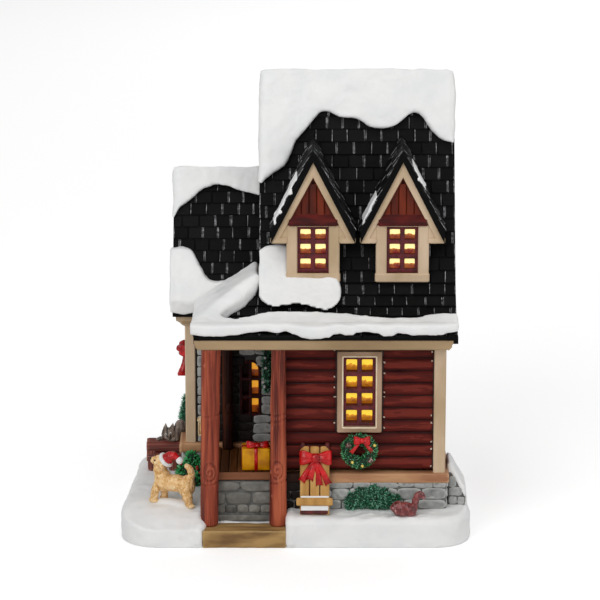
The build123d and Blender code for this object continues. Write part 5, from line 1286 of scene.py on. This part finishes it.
fit(cast("dog_figure", figure, dog_paint, 0.24, 2, fur_swell), "dog_paint", "dog")
eye_paint = paint("eye_paint", ["#100b09", "#1d1512"], grain=500, rough=(0.1, 0.2), bump=0.05)
marks = blank()
bead(marks, dog_turn @ Vector((-7.2, -2.1, 17.6)), 0.36)
bead(marks, dog_turn @ Vector((-9.9, -0.3, 17.5)), 0.5)
fit(piece("dog_eye_and_nose", marks, eye_paint), "dog_paint")
hat = blank()
hat_axis = dog_turn.to_3x3() @ Vector((0.72, 0, 0.69))
for place, long, broad in (((-2.5, 0, 18.4), 1.6, 2.5), ((-1.4, 0, 19.4), 1.9, 2.2), ((0.0, 0, 19.9), 1.9, 1.6),
                           ((1.4, 0, 19.3), 1.4, 1.1)):
    egg(hat, dog_turn @ Vector(place), hat_axis if place[0] < -1 else (1, 0, -0.2), long, broad)
fit(cast("dog_hat", hat, ribbon_paint, 0.25, 4, lambda p, n: 0.08 * ripple(p, 1.4)), "ribbon_paint")
brim = blank()
brim_spot = dog_turn @ Vector((-3.3, 0, 17.7))
turn = hat_axis.to_track_quat("Z", "Y").to_matrix()
for angle in turns(22):
    egg(brim, brim_spot + turn @ Vector((2.55 * math.cos(angle), 2.55 * math.sin(angle), 0)), (0, 1, 0), 0.85, 0.85)
egg(brim, dog_turn @ Vector((2.7, 0, 18.3)), (0, 0, 1), 1.5, 1.5)
fit(cast("dog_hat_trim", brim, snow_glaze, 0.22, 2, lambda p, n: 0.1 * ripple(p, 0.8)), "snow_glaze")

# Holly and wing greenery: holly with red berries fills the corner beside the porch, and a sprig of
# fir with a red bow hangs on the wing's left wall. Leaves are modelled on a dark core.
holly_paint = paint("holly_paint", ["#0f5a2a", "#1e8a45", "#3cae64", "#7fd29a"], grain=500, spread=0.5,
                    rough=(0.3, 0.5), bump=0.3)
berry_paint = paint("berry_paint", ["#8a1512", "#b3261f"], grain=500, rough=(0.2, 0.35))
dice = random.Random(81)
core = recast("holly_core", "holly_bush", "holly_paint", foliage_dark, 0.4, 3)
greens = sprout(core, 620, 1.7, 1.1, 0.9, dice, lambda p, n: p.z > 12.4 and n.y < 0.7)
sides = [s for s in core.data.polygons if s.normal.y < -0.2 and s.center.z > 0.014]
for side in dice.choices(sides, k=12):
    bead(greens, Vector(side.center) / MM + Vector(side.normal) * 0.9, 0.65, finish=1)
fit(piece("holly_leaves", greens, holly_paint, berry_paint), "holly_paint")

core = recast("wing_fir_core", "side_tree", "foliage_paint", foliage_dark, 0.35, 3,
              lambda p, n: 0.9 * max(0.0, -n.x) + 0.3 * ripple(p, 1.8))
greens = sprout(core, 900, 1.5, 0.5, 0.9, dice, lambda p, n: n.x < 0.5)
fit(piece("wing_fir_needles", greens, foliage_paint), "foliage_paint")
knot = blank()
wing_side = wall("left", -43.1)
ribbon_bow(knot, lambda u, v, n: wing_side(u, v, n + (max(0.0, 62.0 - v) * 0.3 if n > 0 else 0.0)), 5.0, 63.8, 9.5,
           4.6, [(2.4, 53.4), (7.6, 53.1)], deep=3.3, tail_width=2.6)
fit(piece("wing_wall_bow", knot, ribbon_paint), "ribbon_paint", "wall_bow")

# Bench and cat: a low bench of dark red logs on stumps beside the wing, and a grey tabby curled up
# on it. The logs have grain scratched along them; the cat's stripes are brushed on.
bark = dict(tones=["#481a15", "#652a22", "#7f3d31"], grain=420, bump=0.6, hollow_shade="#2a0c09", edge="#a06557")
bench_paint = paint("bench_paint", stretch=(0.15, 1, 1), **bark)
stump_paint = paint("stump_paint", stretch=(1, 1, 0.15), **bark)
logs = blank()
for y, z, seed in ((6.0, 22.0, 1.0), (10.0, 22.0, 5.0), (6.0, 17.8, 9.0)):
    trunk(logs, (-59.9, y, z), (-45.8, y, z), 2.2, 2.15, [], [], seed, 40)
fit(piece("bench_logs", logs, bench_paint), "bench_paint", "log_bench")
logs = blank()
for x in (-57.6, -49.2):
    for y in (6.0, 10.0):
        trunk(logs, (x, y, 12), (x, y, 20.5), 1.9, 1.8, [], [], x + y, 40)
fit(piece("bench_stumps", logs, stump_paint), "bench_paint")

cat_paint = paint("cat_paint", ["#2a211d", "#584940", "#93857a", "#3a2f2a"], grain=330, stretch=(1.8, 0.4, 0.4),
                  rough=(0.35, 0.55), bump=0.3, hollow_shade="#15100e", edge="#b5aaa0", gloss=0.3)
figure = blank()
for place, axis, long, broad in (
    ((-47.6, 8.2, 26.9), (1, 0, 0.2), 3.6, 3.0), ((-46.4, 9.2, 29.4), (0.2, 0, 1), 3.0, 2.3),
    ((-51.0, 6.2, 27.4), (1, 0, 0.25), 2.9, 2.5), ((-51.2, 4.4, 26.6), (1, 0.2, 0), 1.4, 1.1),
    ((-54.4, 6.4, 25.2), (1, 0, 0.25), 1.8, 0.8), ((-49.4, 5.2, 25.2), (1, 0, 0), 2.6, 1.0),
):
    egg(figure, Vector(place), axis, long, broad)
for foot, tip in (((-52.4, 6.3, 28.6), (-52.0, 6.3, 31.9)), ((-49.7, 6.4, 29.0), (-49.1, 6.4, 31.8))):
    rings = []
    for share, half in ((0.0, 1.25), (0.5, 0.8), (0.85, 0.35), (1.0, 0.1)):
        middle = Vector(foot).lerp(Vector(tip), share)
        rings.append([middle + Vector((half * math.cos(k * math.pi / 4), 0.6 * half * math.sin(k * math.pi / 4), 0))
                      for k in range(8)])
    loft(figure, rings)
fit(cast("cat_figure", figure, cat_paint, 0.2, 2, lambda p, n: 0.08 * ripple(p, 0.9)), "cat_paint", "cat")
marks = blank()
for x, y, z in ((-51.9, 3.95, 27.6), (-50.0, 3.9, 28.1)):
    bead(marks, (x, y, z), 0.46, finish=1)
    bead(marks, (x - 0.05, y - 0.26, z), 0.3)
bead(marks, (-51.2, 3.3, 26.9), 0.34)
fit(piece("cat_eyes_and_nose", marks, eye_paint, lamp_white), "cat_paint")

# Buttress: a short pier of fieldstones against the right wall, with a sloping shoulder under snow.
# Its stones are laid on the cast core like those of the foundation.
pier_foot, pier_shoulder, pier_face = 12.0, 15.5, 67.1


def pier_spans(v):
    return [(60.7, 67.0 if v < pier_shoulder else pier_face - (v - pier_shoulder) * 5.5 / 9.9)]


small_stones = dict(length=(3.0, 5.5), proud=(0.3, 0.6))
stone_piece("buttress_stones", stone_paint, random.Random(91),
            ("front", -37.0, pier_spans, pier_foot, 24.0, small_stones),
            ("rear", -23.0, pier_spans, pier_foot, 24.0, small_stones),
            ("right", pier_face, plain(-36.9, -23.1), pier_foot, 15.4, dict(proud=(0.3, 0.6))))


# Lamp unit: a dark moulded plate under the house with a tray of three cells, a hinged door and a
# slide switch, and above it a small board with two lamps. Plastic, plated steel and enamelled wire.
def metal(name, tones, rough):
    """Bare metal with an uneven brushed sheen."""
    finish = paint(name, tones, grain=500, stretch=(1, 0.2, 1), rough=rough, tooth=1800, bump=0.1)
    finish.node_tree.nodes["Principled BSDF"].inputs["Metallic"].default_value = 1.0
    return finish


unit_plastic = paint("unit_plastic", ["#26272a", "#2d2e31", "#343538"], grain=700, rough=(0.42, 0.58), tooth=2400,
                     bump=0.18)
for node in ("bottom_plate", "battery_tray", "battery_door", "slide_switch"):
    dress(node, unit_plastic, 0.3)
dress("switch_knob", paint("knob_plastic", ["#b9b9b6", "#c6c6c3", "#d0d0cd"], grain=700, rough=(0.35, 0.5),
                           tooth=2400, bump=0.15), 0.25)
dress("battery_cells", metal("cell_can", ["#8e9092", "#a6a8aa", "#bcbec0"], (0.25, 0.4)), 0.4)
dress("battery_contacts", metal("contact_steel", ["#9c9a92", "#b5b3aa", "#c9c7be"], (0.22, 0.4)))
dress("lamp_board", paint("board_resin", ["#0f4a30", "#14593a", "#1a6845"], grain=600, rough=(0.3, 0.5), bump=0.2))
dress("lamps", amber_sheet("lamp_resin", "#f0d28a", "#fbe4ae", "#fff2cf", 0.5))
dress("lead_wires", paint("wire_cover", ["#8f1411", "#a81b17"], grain=600, rough=(0.3, 0.45), bump=0.1))
dress("plate_screws", metal("screw_steel", ["#7f8184", "#989a9d", "#aeb0b3"], (0.25, 0.45)), 0.2)
